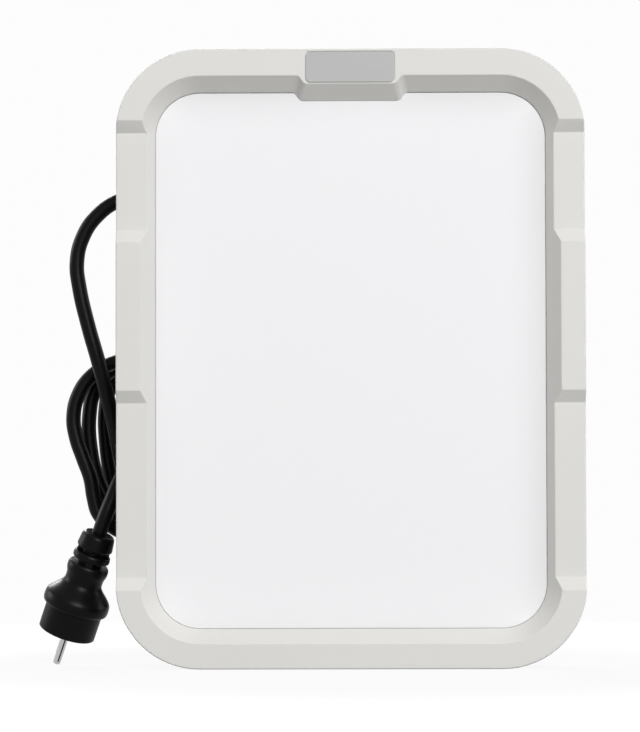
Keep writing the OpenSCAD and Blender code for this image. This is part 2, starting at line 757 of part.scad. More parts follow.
function hank_left_run(t, u) = [
    mix(hank_left_top(t), hank_left_low(t), ease(min(1, left_run_haste * u))),
    mix(hank_crown_z(t), hank_low_z, u)
];
function hank_outline(t, k) =
    k < 1 / 3 ? hank_fold(t, 180 + 540 * k) :
    k < 1 / 2 ? hank_right_run(t, 6 * k - 2) :
    k < 5 / 6 ? hank_crown(t, 540 * k - 270) :
    hank_left_run(t, 6 * k - 5);
function hank_point(t) = let (p = hank_outline(t, t - floor(t)))
    [p.x, hank_rear_y - hank_pitch * t, p.y];
hank_route = [for (i = [0 : round(hank_turns * hank_rings)]) hank_point(i / hank_rings)];
hank_ends = [[0, 0, -1], [0, 0, 1]];

// Routes of the two free stretches: gland to hank, and hank to plug
cord_sides = 10;
exit_route = concat([[gland_mouth_x, gland_y, gland_z]], [
    [-131, 25, 301], [-148, 25, 297.5], [-162.5, 25, 287.5], [-172, 25, 273], [-175.5, 25, 257],
    [-174, 25, 242], [-168, 25, 216], [-162, 25, 195], [-156, 27, 175], [-150.5, 32, 155],
    [-146, 41, 135], [-143, 53, 115], [-141.5, 65, 97], [-141, 72, 82]
], [hank_route[0]]);
plug_at = [-162.5, 13.5, 85];
plug_lean = 16.2;
plug_tip = 8;
plug_spin = 5;
plug_way = [-sin(plug_lean) * cos(plug_tip), sin(plug_tip), -cos(plug_lean) * cos(plug_tip)];
lead_route = concat([hank_route[len(hank_route) - 1]], [
    [-91, 40, 84], [-92, 38, 110], [-96.5, 35, 125], [-107, 31, 135.5], [-121, 28, 139.5],
    [-135, 25, 135.5], [-145.5, 21, 125], [-151, 17, 114], [-155.5, 14, 104]
], [plug_at - cord_d * plug_way, plug_at]);

// Tube along a route: a ring of points at each place, square to the way through it
function unit(v) = v / norm(v);
function way_at(route, ends, i) =
    i == 0 ? ends[0] :
    i == len(route) - 1 ? ends[1] :
    unit(unit(route[i + 1] - route[i]) + unit(route[i] - route[i - 1]));
function ring_at(p, way, r, sides) = let (side = unit(cross([0, 1, 0], way)), rise = cross(way, side))
    [for (k = [0 : sides - 1]) p + r * (cos(360 * k / sides) * side + sin(360 * k / sides) * rise)];
module tube(route, ends, r, sides) {
    n = len(route);
    points = [for (i = [0 : n - 1]) each ring_at(route[i], way_at(route, ends, i), r, sides)];
    walls = [for (i = [0 : n - 2], k = [0 : sides - 1]) let (
        a = i * sides + k, b = i * sides + (k + 1) % sides
    ) each [[a, b + sides, b], [a, a + sides, b + sides]]];
    first_cap = [for (k = [1 : sides - 2]) [0, k, k + 1]];
    last = (n - 1) * sides;
    last_cap = [for (k = [1 : sides - 2]) [last, last + k + 1, last + k]];
    polyhedron(points, concat(walls, first_cap, last_cap));
}

// Least clear space between strands that lie half a loop or more apart along the lead
function least_gap(route, r, apart) = min([
    for (i = [0 : len(route) - 1], j = [i + apart : 1 : len(route) - 1]) norm(route[i] - route[j])
]) - 2 * r;
echo(str("least gap in the hank, mm: ", least_gap(hank_route, cord_d / 2, hank_rings / 2)));

module cord_exit() color("black") tube(exit_route, [[-1, 0, 0], hank_ends[0]], cord_d / 2, cord_sides);

module cord_hank() color("black") tube(hank_route, hank_ends, cord_d / 2, hank_sides);

module cord_lead() color("black") tube(lead_route, [hank_ends[1], plug_way], cord_d / 2, cord_sides);

// Peg behind the bezel with a base plate and a round end that keeps the hank on
module cord_hook() color("gainsboro") difference() {
    lip_y = hank_rear_y + strand_gap;
    union() {
        block([hook_x - hook_base_w / 2, back_y, hook_z - hook_base_h / 2],
              [hook_x + hook_base_w / 2, back_y + foot_t, hook_z + hook_base_h / 2]);
        rod_y(peg_r, hook_x, hook_z, back_y, hank_rear_y + cord_d / 2);
        rod_y(peg_r + cord_d / 2, hook_x, hook_z, lip_y, lip_y + hook_lip_t);
    }
    for (p = hook_screw_points) small_hole(p, back_y - over, back_y + foot_t + over);
}

module hook_screws() color("silver") for (p = hook_screw_points)
    small_screw(p, back_y + foot_t, back_y - rear_wall);

// Everything on the plug is drawn with its neck at the origin and its pins downward
module plug_pose() translate(plug_at) rotate([0, plug_lean, 0]) rotate([plug_tip, 0, 0])
    rotate([0, 0, plug_spin]) children();

// Places along the plug, from the neck: collars with slots between them, waist, flange and front
collar_r = 11.6;
collar_step = 0.6;
collar_len = 9;
slot_len = 2.2;
slot_r = 8.6;
bridge_w = 5;
waist_s = 3 * collar_len + 2 * slot_len;
plug_front_len = 22;
flange_s = plug_len - plug_front_len;
flange_len = 5;
flange_soft = 1.5;
neck_soft = 1.2;
pin_root = 8;
groove_w = 7;
groove_d = 2.5;
groove_len = 17;
strip_w = 6;
strip_t = 1;
strip_len = 15;

module plug_slot(s, turn) rotate([0, 0, turn]) difference() {
    translate([0, 0, -s - slot_len]) cylinder(h = slot_len, r = plug_flange_r);
    translate([0, 0, -s - slot_len - over]) cylinder(h = slot_len + 2 * over, r = slot_r);
    translate([-plug_flange_r, -bridge_w / 2, -s - slot_len - over])
        cube([2 * plug_flange_r, bridge_w, slot_len + 2 * over]);
}

module plug_body() color("black") plug_pose() difference() {
    rotate_extrude() polygon(concat(
        [[0, 0], [collar_r - neck_soft, 0], [collar_r, -neck_soft], [collar_r, -collar_len - slot_len / 2],
         [collar_r + collar_step, -collar_len - slot_len / 2],
         [collar_r + collar_step, -2 * collar_len - 1.5 * slot_len],
         [collar_r + 2 * collar_step, -2 * collar_len - 1.5 * slot_len],
         [collar_r + 2 * collar_step, -waist_s]],
        [for (u = [0 : 0.125 : 1])
            [mix(plug_flange_r, collar_r, cos(90 * u)), -mix(waist_s + flange_soft, flange_s, u)]],
        [[plug_flange_r, -flange_s - flange_len], [plug_r, -flange_s - flange_len - flange_soft],
         [plug_r, -plug_len], [0, -plug_len]]
    ));
    plug_slot(collar_len, 0);
    plug_slot(2 * collar_len + slot_len, 90);
    for (sy = [-1, 1]) translate([0, sy * pin_pitch / 2, -plug_len - over])
        cylinder(h = pin_root + over, r = pin_r + screw_clear);
    for (x = [-plug_r - over, plug_r - groove_d])
        block([x, -groove_w / 2, -plug_len - over],
              [x + groove_d + over, groove_w / 2, groove_len - plug_len]);
}

module plug_pins() color("silver") plug_pose() for (sy = [-1, 1]) translate([0, sy * pin_pitch / 2, 0]) {
    tip = pin_r / 2;
    translate([0, 0, -plug_len - pin_len + tip]) cylinder(h = pin_root + pin_len - tip, r = pin_r);
    translate([0, 0, -plug_len - pin_len]) cylinder(h = tip, r1 = tip, r2 = pin_r);
}

// Spring strips on the floors of the two side grooves
module plug_earth() color("silver") plug_pose() for (x = [groove_d - plug_r, plug_r - groove_d + strip_t])
    block([x - strip_t, -strip_w / 2, -plug_len], [x, strip_w / 2, strip_len - plug_len]);

front_frame();
name_plate();
diffuser();
diffuser_seal();
reflector_tray();
led_boards();
leds();
board_screws();
rear_housing();
housing_seal();
housing_screws();
driver_cover();
cover_screws();
driver_module();
driver_screws();
terminal_block();
switch_body();
switch_rocker();
cable_entry();
entry_screws();
gland_body();
gland_nut();
gland_seal();
gland_locknut();
supply_lead();
stand_arms();
stand_bracket();
stand_feet();
pivot_bolts();
pivot_washers();
cord_hook();
hook_screws();
cord_exit();
cord_hank();
cord_lead();
plug_body();
plug_pins();
plug_earth();
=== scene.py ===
# %% [markdown]
# # An LED work light, dressed for its picture
# The solids of the lamp come from a imported CAD model. This script loads them as a fixed frame, gives
# every visible surface a finish, and remodels the pieces that need softer edges than a solid has.
# The frame is loaded first.

# %% Load the frame
import bmesh
import bpy
import math
from mathutils import Matrix, Vector


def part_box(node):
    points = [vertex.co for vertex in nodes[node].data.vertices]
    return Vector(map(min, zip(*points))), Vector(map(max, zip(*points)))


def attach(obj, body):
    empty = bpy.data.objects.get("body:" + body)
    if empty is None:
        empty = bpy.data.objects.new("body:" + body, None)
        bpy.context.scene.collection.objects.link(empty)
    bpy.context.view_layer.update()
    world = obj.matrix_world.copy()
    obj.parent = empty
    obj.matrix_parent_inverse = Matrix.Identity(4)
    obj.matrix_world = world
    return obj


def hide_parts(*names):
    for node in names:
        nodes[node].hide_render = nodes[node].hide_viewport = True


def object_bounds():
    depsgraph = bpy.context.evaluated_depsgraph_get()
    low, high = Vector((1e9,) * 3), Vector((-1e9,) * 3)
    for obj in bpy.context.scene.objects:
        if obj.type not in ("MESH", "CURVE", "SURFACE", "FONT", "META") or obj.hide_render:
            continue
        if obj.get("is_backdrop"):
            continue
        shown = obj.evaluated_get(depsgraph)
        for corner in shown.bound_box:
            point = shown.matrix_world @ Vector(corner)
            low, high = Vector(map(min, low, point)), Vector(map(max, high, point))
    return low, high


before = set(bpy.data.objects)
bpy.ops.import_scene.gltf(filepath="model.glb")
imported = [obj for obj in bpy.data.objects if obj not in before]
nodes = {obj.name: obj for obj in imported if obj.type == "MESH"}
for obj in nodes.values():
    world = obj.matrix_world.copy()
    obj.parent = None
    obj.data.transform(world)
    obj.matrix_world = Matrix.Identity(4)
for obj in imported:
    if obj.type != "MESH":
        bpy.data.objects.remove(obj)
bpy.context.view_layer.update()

# %% [markdown]
# ## The camera
# The lamp was photographed square from the front with a long lens held low, so that the underside of
# the upper window edge shows. A shifted lens would also give that, but a shift stays in every other
# view. A small tilt and turn of the camera frames the lamp just as well.

# %% Camera
IMAGE_W, IMAGE_H = 640, 732
FOCAL_PX = 3205
SENSOR_MM = 36
CAMERA_AT = Vector((0, -2.026, 0.120))
LAMP_MIDDLE = Vector((0, -0.026, 0.194))
MIDDLE_PX = (351, 357.9)
CAMERA_ROLL = math.radians(0.13)

lens = bpy.data.cameras.new("camera")
lens.sensor_width = SENSOR_MM
lens.lens = FOCAL_PX * SENSOR_MM / IMAGE_H
camera = bpy.data.objects.new("camera", lens)
bpy.context.scene.collection.objects.link(camera)
bpy.context.scene.camera = camera
reach = LAMP_MIDDLE - CAMERA_AT
tilt = math.atan2(reach.z, reach.y) - math.atan((IMAGE_H / 2 - MIDDLE_PX[1]) / FOCAL_PX)
turn = math.atan((MIDDLE_PX[0] - IMAGE_W / 2) / FOCAL_PX)
camera.location = CAMERA_AT
camera.rotation_euler = (math.pi / 2 + tilt, CAMERA_ROLL, turn)
print("camera tilt", round(math.degrees(tilt), 2), "turn", round(math.degrees(turn), 2))

# %% [markdown]
# ## Writing finishes as sums
# A finish is a small network of shader nodes. Wrapping an output in a class with overloaded operators
# lets the maths read as plain sums, and one method adds every other kind of node, so that a finish
# stays a few lines long. The floor and the world are made of nodes as well, so this comes first.

# %% Shader helpers


class Output:
    """An output of a shader node. Sums with it add Math nodes."""

    def __init__(self, finish, socket):
        self.finish, self.socket = finish, socket

    def maths(self, operation, first, second):
        return self.finish.node("ShaderNodeMath", {"operation": operation}, {0: first, 1: second})

    def __add__(self, other):
        return self.maths("ADD", self, other)

    def __sub__(self, other):
        return self.maths("SUBTRACT", self, other)

    def __rsub__(self, other):
        return self.maths("SUBTRACT", other, self)

    def __mul__(self, other):
        return self.maths("MULTIPLY", self, other)

    def __abs__(self):
        return self.finish.node("ShaderNodeMath", {"operation": "ABSOLUTE"}, {0: self})

    def most(self, other):
        """The larger of two values."""
        return self.maths("MAXIMUM", self, other)

    __radd__ = __add__
    __rmul__ = __mul__


class Finish:
    """The nodes of a material or a world, added one call at a time."""

    def __init__(self, holder):
        self.holder = holder
        holder.use_nodes = True
        self.tree = holder.node_tree
        self.tree.nodes.clear()

    def node(self, kind, settings=None, sockets=None, out=0):
        made = self.tree.nodes.new(kind)
        for key, value in (settings or {}).items():
            setattr(made, key, value)
        for key, value in (sockets or {}).items():
            if isinstance(value, Output):
                self.tree.links.new(value.socket, made.inputs[key])
            else:
                made.inputs[key].default_value = value
        return Output(self, made.outputs[out]) if made.outputs else None

    def place(self, stretch=(1, 1, 1)):
        at = self.node("ShaderNodeTexCoord", out="Object")
        if stretch == (1, 1, 1):
            return at
        return self.node("ShaderNodeMapping", None, {"Vector": at, "Scale": stretch})

    def noise(self, scale, detail=3, stretch=(1, 1, 1)):
        sockets = {"Vector": self.place(stretch), "Scale": scale, "Detail": detail}
        return self.node("ShaderNodeTexNoise", None, sockets)

    def mix(self, factor, first, second):
        sockets = {0: factor, 6: first, 7: second}
        return self.node("ShaderNodeMix", {"data_type": "RGBA", "clamp_factor": True}, sockets, 2)

    def bump(self, height, depth):
        return self.node("ShaderNodeBump", None, {"Height": height, "Distance": depth, "Strength": 1.0})

    def done(self, sockets):
        shader = self.node("ShaderNodeBsdfPrincipled", None, sockets)
        self.node("ShaderNodeOutputMaterial", None, {"Surface": shader})
        return self.holder


def tone(level, red=0.0, blue=0.0):
    """A grey of that sRGB level from 0 to 255, as a linear colour, with a little more red or blue."""
    u = level / 255
    line = u / 12.92 if u <= 0.04045 else ((u + 0.055) / 1.055) ** 2.4
    return (line * (1 + red), line, line * (1 + blue), 1)


print("shader helpers ready")

# %% [markdown]
# ## Floor, world and lamps
# The picture has a white ground. The floor and the world show white to the camera and to mirror-like
# surfaces, while the light that reaches the work light stays plain: an even sky, one broad lamp from
# the upper right, one behind for the back, and a weaker one on each side, set back so far that the
# front doesn't see it. Near the work light the floor keeps a share of its own shading, so that a soft
# shadow shows, and that share fades out before the horizon.

# %% Floor and world
FLOOR_SIZE = 60
GROUND_WHITE = 0.98
FLOOR_GREY = 0.11
FLOOR_SHADE = 0.5
FLOOR_LIFT = 0.86
SHADE_NEAR, SHADE_FAR = 0.2, 0.7
SKY = 0.16
RAY_KINDS = ("Is Camera Ray", "Is Glossy Ray", "Is Transmission Ray")

bpy.ops.object.select_all(action="DESELECT")
bpy.ops.mesh.primitive_plane_add(size=FLOOR_SIZE, location=(0, 0, 0))
floor = bpy.context.object
floor.name = "floor"
floor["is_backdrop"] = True
paper = Finish(bpy.data.materials.new("paper_floor"))
floor.data.materials.append(paper.holder)
studio = Finish(bpy.data.worlds.new("studio"))
bpy.context.scene.world = studio.holder
white = (GROUND_WHITE, GROUND_WHITE, GROUND_WHITE, 1)
grey = (FLOOR_GREY, FLOOR_GREY, FLOOR_GREY, 1)


def seen_rays(finish):
    """One where a ray comes from the camera, a mirror-like face or clear plastic, and zero elsewhere."""
    direct, mirrored, through = (finish.node("ShaderNodeLightPath", out=name) for name in RAY_KINDS)
    return direct.most(mirrored).most(through)


away = paper.node("ShaderNodeVectorMath", {"operation": "LENGTH"}, {0: paper.place()}, "Value")


def by_distance(near, far):
    """A value that eases from one near the work light to another far from it."""
    sockets = {"Value": away, "From Min": SHADE_NEAR, "From Max": SHADE_FAR, "To Min": near, "To Max": far}
    return paper.node("ShaderNodeMapRange", {"interpolation_type": "SMOOTHSTEP"}, sockets)


matt = paper.node("ShaderNodeBsdfDiffuse", None, {"Color": grey})
bright = paper.node("ShaderNodeEmission", None, {"Color": white, "Strength": by_distance(1 + FLOOR_LIFT, 1)})
share = seen_rays(paper) * by_distance(1 - FLOOR_SHADE, 1)
blend = paper.node("ShaderNodeMixShader", None, {0: share, 1: matt, 2: bright})
paper.node("ShaderNodeOutputMaterial", None, {"Surface": blend})

sky = studio.node("ShaderNodeBackground", None, {"Strength": SKY})
ground = studio.node("ShaderNodeBackground", None, {"Color": white})
blend = studio.node("ShaderNodeMixShader", None, {0: seen_rays(studio), 1: sky, 2: ground})
studio.node("ShaderNodeOutputWorld", None, {"Surface": blend})
print("floor and world ready")

# %% Lamps
LAMP_SIZE = 3.0
KEY_AT, KEY_POWER = (1.88, -6.33, 2.95), 452
BACK_AT, BACK_POWER = (-1.8, 5.7, 4.1), 380
SIDE_OUT, SIDE_BACK, SIDE_UP, SIDE_POWER = 6.0, 1.6, 2.5, 150


def soft_lamp(name, place, power):
    """A square lamp at a place, aimed at the middle of the work light."""
    light = bpy.data.lights.new(name, "AREA")
    light.size = LAMP_SIZE
    light.energy = power
    lamp = bpy.data.objects.new(name, light)
    bpy.context.scene.collection.objects.link(lamp)
    lamp.location = place
    lamp.rotation_euler = (LAMP_MIDDLE - Vector(place)).to_track_quat("-Z", "Y").to_euler()


soft_lamp("key_lamp", KEY_AT, KEY_POWER)
soft_lamp("back_lamp", BACK_AT, BACK_POWER)
soft_lamp("left_lamp", (-SIDE_OUT, SIDE_BACK, SIDE_UP), SIDE_POWER)
soft_lamp("right_lamp", (SIDE_OUT, SIDE_BACK, SIDE_UP), SIDE_POWER)
bpy.context.scene.view_settings.view_transform = "Standard"
print("four lamps hung")

# %% [markdown]
# ## The finishes
# Moulded plastic, powder coat and rubber share one recipe: two near greys mottled by a broad noise, a
# fine grain as bump, and a roughness that drifts with the mottling. What differs is the scale and the
# depth. Metal gets lines instead, by stretching the noise along the way it was brushed.

# %% Recipes
FINE_DEPTH = 0.00002
LINES, LINES_DRIFT, CLOUD, CLOUD_DRIFT, MEAN_DRIFT = 900, 0.15, 25, 0.1, 0.12
OPAL_GRAIN, OPAL_SPECKLE, OPAL_CLOUD, OPAL_DRIFT, RIM_SHADE_RISE = 1800, 0.06, 9, 0.06, 0.85


def grained(name, dark, light, rough, grain, depth, drift=0.08, broad=18, gloss=0.5):
    """A grained surface: mottled colour, drifting roughness and a fine bump.

    The grain and the broad mottling are scales of a noise, and the depth of the bump is in metres."""
    finish = Finish(bpy.data.materials.new(name))
    mottle = finish.noise(broad, 4)
    fine = finish.noise(grain)
    return finish.done({
        "Base Color": finish.mix(mottle * 0.7 + fine * 0.3, dark, light),
        "Roughness": mottle * drift + (rough - drift / 2),
        "Normal": finish.bump(fine, depth),
        "Specular IOR Level": gloss,
    })


def brushed(name, dark, light, rough, stretch, metal=1.0):
    """Metal or metal paint with fine lines along the axis whose stretch is small."""
    finish = Finish(bpy.data.materials.new(name))
    lines = finish.noise(LINES, stretch=stretch)
    cloud = finish.noise(CLOUD)
    return finish.done({
        "Base Color": finish.mix(lines * 0.6 + cloud * 0.4, dark, light),
        "Metallic": metal,
        "Roughness": lines * LINES_DRIFT + cloud * CLOUD_DRIFT + (rough - MEAN_DRIFT),
        "Normal": finish.bump(lines, FINE_DEPTH),
    })


def opal(name, middle, edge, rough, glow, half, centre, reach):
    """A glowing sheet, even in the middle and darker within a reach of its rim. That darkening is painted
    shade: it stands for the shadow of the bezel's walls, and it dims the glow as well.

    The half sizes and the centre, in metres, say where along X and Z that rim lies."""
    finish = Finish(bpy.data.materials.new(name))
    ways = []
    for axis, size, at in zip((0, 2), half, centre):
        place = finish.node("ShaderNodeSeparateXYZ", None, {"Vector": finish.place()}, axis)
        ways.append(abs(place - at) - (size - reach))
    clamped = {"operation": "MULTIPLY", "use_clamp": True}
    painted_rim_shade = finish.node("ShaderNodeMath", clamped, {0: ways[0].most(ways[1]), 1: RIM_SHADE_RISE / reach})
    fine = finish.noise(OPAL_GRAIN)
    # Painted shade: the colour darkens towards the rim, in the base colour and in the glow alike.
    colour = finish.mix(painted_rim_shade * painted_rim_shade * painted_rim_shade + fine * OPAL_SPECKLE, middle, edge)
    return finish.done({
        "Base Color": colour,
        "Roughness": finish.noise(OPAL_CLOUD) * OPAL_DRIFT + rough,
        "Normal": finish.bump(fine, FINE_DEPTH),
        "Specular IOR Level": 0.0,
        "Emission Color": colour,
        "Emission Strength": glow,
    })


print("three recipes ready")

# %% Finishes
WARM, LESS_WARM = (0.01, -0.04), (0.006, -0.02)
# The painted rim shade is centred a little left of and below the window, so it is deepest along the top and
# the right.
PANEL_HALF, PANEL_SHADE_CENTRE, PANEL_SHADE_REACH = (0.1228, 0.1685), (-0.004, 0.190), 0.03
bezel_finish = grained("bezel_plastic", tone(223, *WARM), tone(230, *WARM), 0.55, 2600, 0.00003, gloss=0.4)
rear_finish = grained("powder_coat", tone(205, *LESS_WARM), tone(216, *LESS_WARM), 0.5, 1300, 0.00008)
hook_finish = grained("hook_plastic", tone(204, *LESS_WARM), tone(214, *LESS_WARM), 0.45, 2400, 0.00003)
stand_finish = grained("stand_coat", tone(200), tone(212), 0.42, 1500, 0.00006)
# The opal's darker second tone is painted shade along its rim.
opal_finish = opal("opal_sheet_rim_shaded", tone(233, 0.003, 0.017), tone(211, 0.003, 0.013), rough=0.75, glow=0.2,
                   half=PANEL_HALF, centre=PANEL_SHADE_CENTRE, reach=PANEL_SHADE_REACH)
rubber_finish = grained("cord_rubber", tone(6), tone(12), 0.34, 1500, 0.00005, 0.12, 40, 0.09)
plug_finish = grained("plug_rubber", tone(5), tone(12), 0.33, 2200, 0.00003, 0.12, 60, 0.08)
foot_finish = grained("foot_rubber", tone(22), tone(34), 0.72, 1800, 0.00008, 0.12, 60, 0.2)
seal_finish = grained("seal_foam", tone(38), tone(52), 0.85, 1400, 0.0001)
nylon_finish = grained("gland_nylon", tone(52), tone(64), 0.5, 2200, 0.00004)
switch_finish = grained("switch_shell", tone(30), tone(40), 0.55, 2400, 0.00004, gloss=0.3)
rocker_finish = grained("rocker_gloss", tone(22), tone(30), 0.3, 900, 0.00001, 0.1, 50, 0.4)
mark_finish = grained("switch_marks", tone(225), tone(235), 0.5, 2500, 0.00002)
tray_finish = grained("tray_white", tone(232), tone(240), 0.35, 1500, 0.00002)
board_finish = grained("board_mask", tone(228), tone(238), 0.4, 2500, 0.00002)
terminal_finish = grained("terminal_nylon", tone(220), tone(230), 0.45, 2200, 0.00003)
led_finish = grained("led_phosphor", (0.8, 0.62, 0.12, 1), (0.9, 0.72, 0.2, 1), 0.35, 2800, 0.00002)
plate_finish = brushed("plate_silver", tone(158), tone(170), 0.55, (0.02, 1, 1), metal=0.25)
steel_finish = brushed("zinc_steel", tone(176), tone(204), 0.36, (1, 1, 0.2))
pin_finish = brushed("pin_nickel", tone(166), tone(200), 0.18, (1, 1, 0.05))
# A dark strip for the pins: painted reflection, the dark streak that polished pins mirror.
pin_reflection_finish = brushed("pin_painted_reflection", tone(14), tone(26), 0.4, (1, 1, 0.05), metal=0.5)
# A grey bead for the window's gap: painted shade that stands for the shadow there.
gap_shade_finish = grained("painted_gap_shade", tone(172), tone(184), 0.7, 1800, 0.00003, gloss=0.2)
driver_finish = brushed("driver_case", tone(180), tone(200), 0.45, (0.03, 1, 1))
print("materials in the file:", len(bpy.data.materials))

# %% [markdown]
# ## Working as by hand
# Every operator acts on what is selected, so each piece starts from an empty selection. These helpers
# pick a piece, choose its points, edges or faces by their place, and put on a finish and a body.

# %% Modelling helpers
MM = 0.001
SMOOTH_ANGLE = math.radians(38)


def pick(piece):
    """Leaves edit mode and makes a piece the only one selected."""
    if bpy.context.object and bpy.context.object.mode != "OBJECT":
        bpy.ops.object.mode_set(mode="OBJECT")
    bpy.ops.object.select_all(action="DESELECT")
    piece.select_set(True)
    bpy.context.view_layer.objects.active = piece


def choose(piece, kind, test):
    """In edit mode, selects the points, edges or faces whose middle passes a test."""
    bpy.ops.mesh.select_mode(type=kind)
    bpy.ops.mesh.select_all(action="DESELECT")
    mesh = bmesh.from_edit_mesh(piece.data)
    if kind == "VERT":
        found = [v for v in mesh.verts if test(v.co)]
    elif kind == "EDGE":
        found = [e for e in mesh.edges if test((e.verts[0].co + e.verts[1].co) / 2)]
    else:
        found = [f for f in mesh.faces if test(f.calc_center_median())]
    for part in found:
        part.select_set(True)
    mesh.select_flush_mode()
    bmesh.update_edit_mesh(piece.data)
    return len(found)


def rounded(piece, width, angle=30, segments=3):
    """Rounds every edge that is sharper than an angle."""
    pick(piece)
    soft = piece.modifiers.new("rounding", "BEVEL")
    soft.width = width
    soft.segments = segments
    soft.limit_method = "ANGLE"
    soft.angle_limit = math.radians(angle)
    bpy.ops.object.modifier_apply(modifier=soft.name)


def joined(pieces):
    """Joins pieces into the first of them."""
    pick(pieces[0])
    for other in pieces[1:]:
        other.select_set(True)
    bpy.ops.object.join()


def dressed(piece, body, slot, finish, *stands_for):
    """Smooths a finished piece, keeps its large faces flat, and gives it a finish and a body. The slot is not
    used.
    """
    pick(piece)
    bpy.ops.object.transform_apply(location=True, rotation=True, scale=True)
    bpy.ops.object.shade_smooth_by_angle(angle=SMOOTH_ANGLE)
    even = piece.modifiers.new("even_faces", "WEIGHTED_NORMAL")
    even.keep_sharp = True
    bpy.ops.object.modifier_apply(modifier=even.name)
    piece.data.materials.clear()
    piece.data.materials.append(finish)
    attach(piece, body)
    if stands_for:
        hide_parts(*stands_for)
    print(piece.name, len(piece.data.polygons), "faces")


print("modelling helpers ready")

# %% [markdown]
# ## The lead
# A rubber lead leaves the gland, bows out beside the lamp, hangs in a hank of three loops on the peg
# and ends in a plug. A cord is a fixed length of something flexible, so its route comes first and the
# tube follows. The route follows the one that the solids use: two free stretches given by points, and
# a hank whose loops come from a formula. One Bezier curve with automatic handles runs through them all.

# %% Route of the lead
CORD_D = 9.5 * MM
HANK_LOOPS = 3
HANK_TURNS = HANK_LOOPS + 1 / 3
HANK_RINGS = 24
HANK_LOW_Z, HANK_LAST_Z, HANK_TOP_Z, HANK_FRONT_Y = 68, 106, 196, 40
HANK_LEFT, HANK_LAST_LEFT, HANK_RIGHT = -141, -166, -91
CROWN_LEFT, CROWN_LEFT_MORE, CROWN_RIGHT, CROWN_RIGHT_MORE = -152, -29, -98.6, -7
LAST_LOOP_FROM, FALL_EASE = HANK_LOOPS - 0.3, 1.6
HANK_PITCH = CORD_D / MM + 1
FOLD_R = (HANK_RIGHT - HANK_LEFT) / 2
PLUG_AT = Vector((-160.2, 13.5, 83.9)) * MM
PLUG_TURNS = (("Y", 19.4), ("X", 13), ("Z", 5))
PLUG_TURN = Matrix.Identity(4)
for axis, angle in PLUG_TURNS:
    PLUG_TURN = PLUG_TURN @ Matrix.Rotation(math.radians(angle), 4, axis)
GLAND_MOUTH = Vector((-120.9, 25, 301)) * MM


def between(a, b, u):
    """The value at a share of the way from one value to another."""
    return a + (b - a) * u


def eased(u):
    """A share of a way that starts and ends slowly."""
    return u * u * (3 - 2 * u)


def hank_point(t):
    """A place on the hank after t loops, in millimetres.

    A third of each loop is the lower fold, a sixth rises, a third is the crown and a sixth falls."""
    k, share = t - math.floor(t), t / HANK_LOOPS
    last = t > LAST_LOOP_FROM
    left_low, low_z = (HANK_LAST_LEFT, HANK_LAST_Z) if last else (HANK_LEFT, HANK_LOW_Z)
    left_top, right_top = CROWN_LEFT + CROWN_LEFT_MORE * share, CROWN_RIGHT + CROWN_RIGHT_MORE * share
    crown_r = (right_top - left_top) / 2
    crown_z = HANK_TOP_Z - crown_r
    if k < 1 / 3:
        a = math.radians(180 + 540 * k)
        middle = between(left_low + FOLD_R, HANK_RIGHT - FOLD_R, eased(3 * k))
        x, z = middle + FOLD_R * math.cos(a), low_z + FOLD_R * math.sin(a)
    elif k < 1 / 2:
        u = 6 * k - 2
        x, z = between(HANK_RIGHT, right_top, eased(u)), between(low_z, crown_z, u)
    elif k < 5 / 6:
        a = math.radians(540 * k - 270)
        x, z = left_top + crown_r + crown_r * math.cos(a), crown_z + crown_r * math.sin(a)
    else:
        u = 6 * k - 5
        x, z = between(left_top, left_low, eased(u if last else u ** FALL_EASE)), between(crown_z, low_z, u)
    return Vector((x, HANK_FRONT_Y + HANK_PITCH * (HANK_TURNS - t), z))


exit_points = [
    (-131, 25, 301), (-148, 25, 297.5), (-162.5, 25, 287.5), (-172, 25, 273), (-175.5, 25, 257),
    (-174, 25, 242), (-168, 25, 216), (-162, 25, 195), (-157, 27, 175), (-152.5, 32, 155),
    (-149, 41, 135), (-145.5, 53, 115), (-142.5, 65, 97), (-141, 72, 82),
]
lead_points = [
    (-92, 38, 110), (-96.5, 35, 125), (-107, 31, 135.5), (-121, 28, 139.5), (-134, 24.5, 135.5),
    (-143, 20, 126), (-148.5, 16, 115.5), (-152, 13, 106),
]
plug_way = PLUG_TURN @ Vector((0, 0, -1))
hank_points = [hank_point(i / HANK_RINGS) for i in range(round(HANK_TURNS * HANK_RINGS) + 1)]
route = [GLAND_MOUTH] + [Vector(p) * MM for p in exit_points] + [p * MM for p in hank_points]
route += [Vector(p) * MM for p in lead_points] + [PLUG_AT - CORD_D * plug_way, PLUG_AT]
print("route of", len(route), "points")

# %% Lead
CORD_STEPS = 6
line = bpy.data.curves.new("supply_cord", "CURVE")
line.dimensions = "3D"
spline = line.splines.new("BEZIER")
spline.bezier_points.add(len(route) - 1)
for knot, place in zip(spline.bezier_points, route):
    knot.co = place
    knot.handle_left_type = knot.handle_right_type = "AUTO"
spline.resolution_u = line.bevel_resolution = CORD_STEPS
line.bevel_depth = CORD_D / 2
line.use_fill_caps = True
cord = bpy.data.objects.new("supply_cord", line)
bpy.context.scene.collection.objects.link(cord)
line.materials.append(rubber_finish)
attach(cord, "lamp")
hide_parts("cord_exit", "cord_hank", "cord_lead")

# %% [markdown]
# ## The bezel
# The pale frame is one moulding: a raised face with shallow fields on both sides, a sloped wall round
# the window, and a skirt behind. It could be cut from a block with booleans. Here a single plane is
# rounded at its corners and then inset and extruded ring by ring, which keeps every wall in long clean
# faces, so that one rounding at the end gives the small soft edges of a moulding.

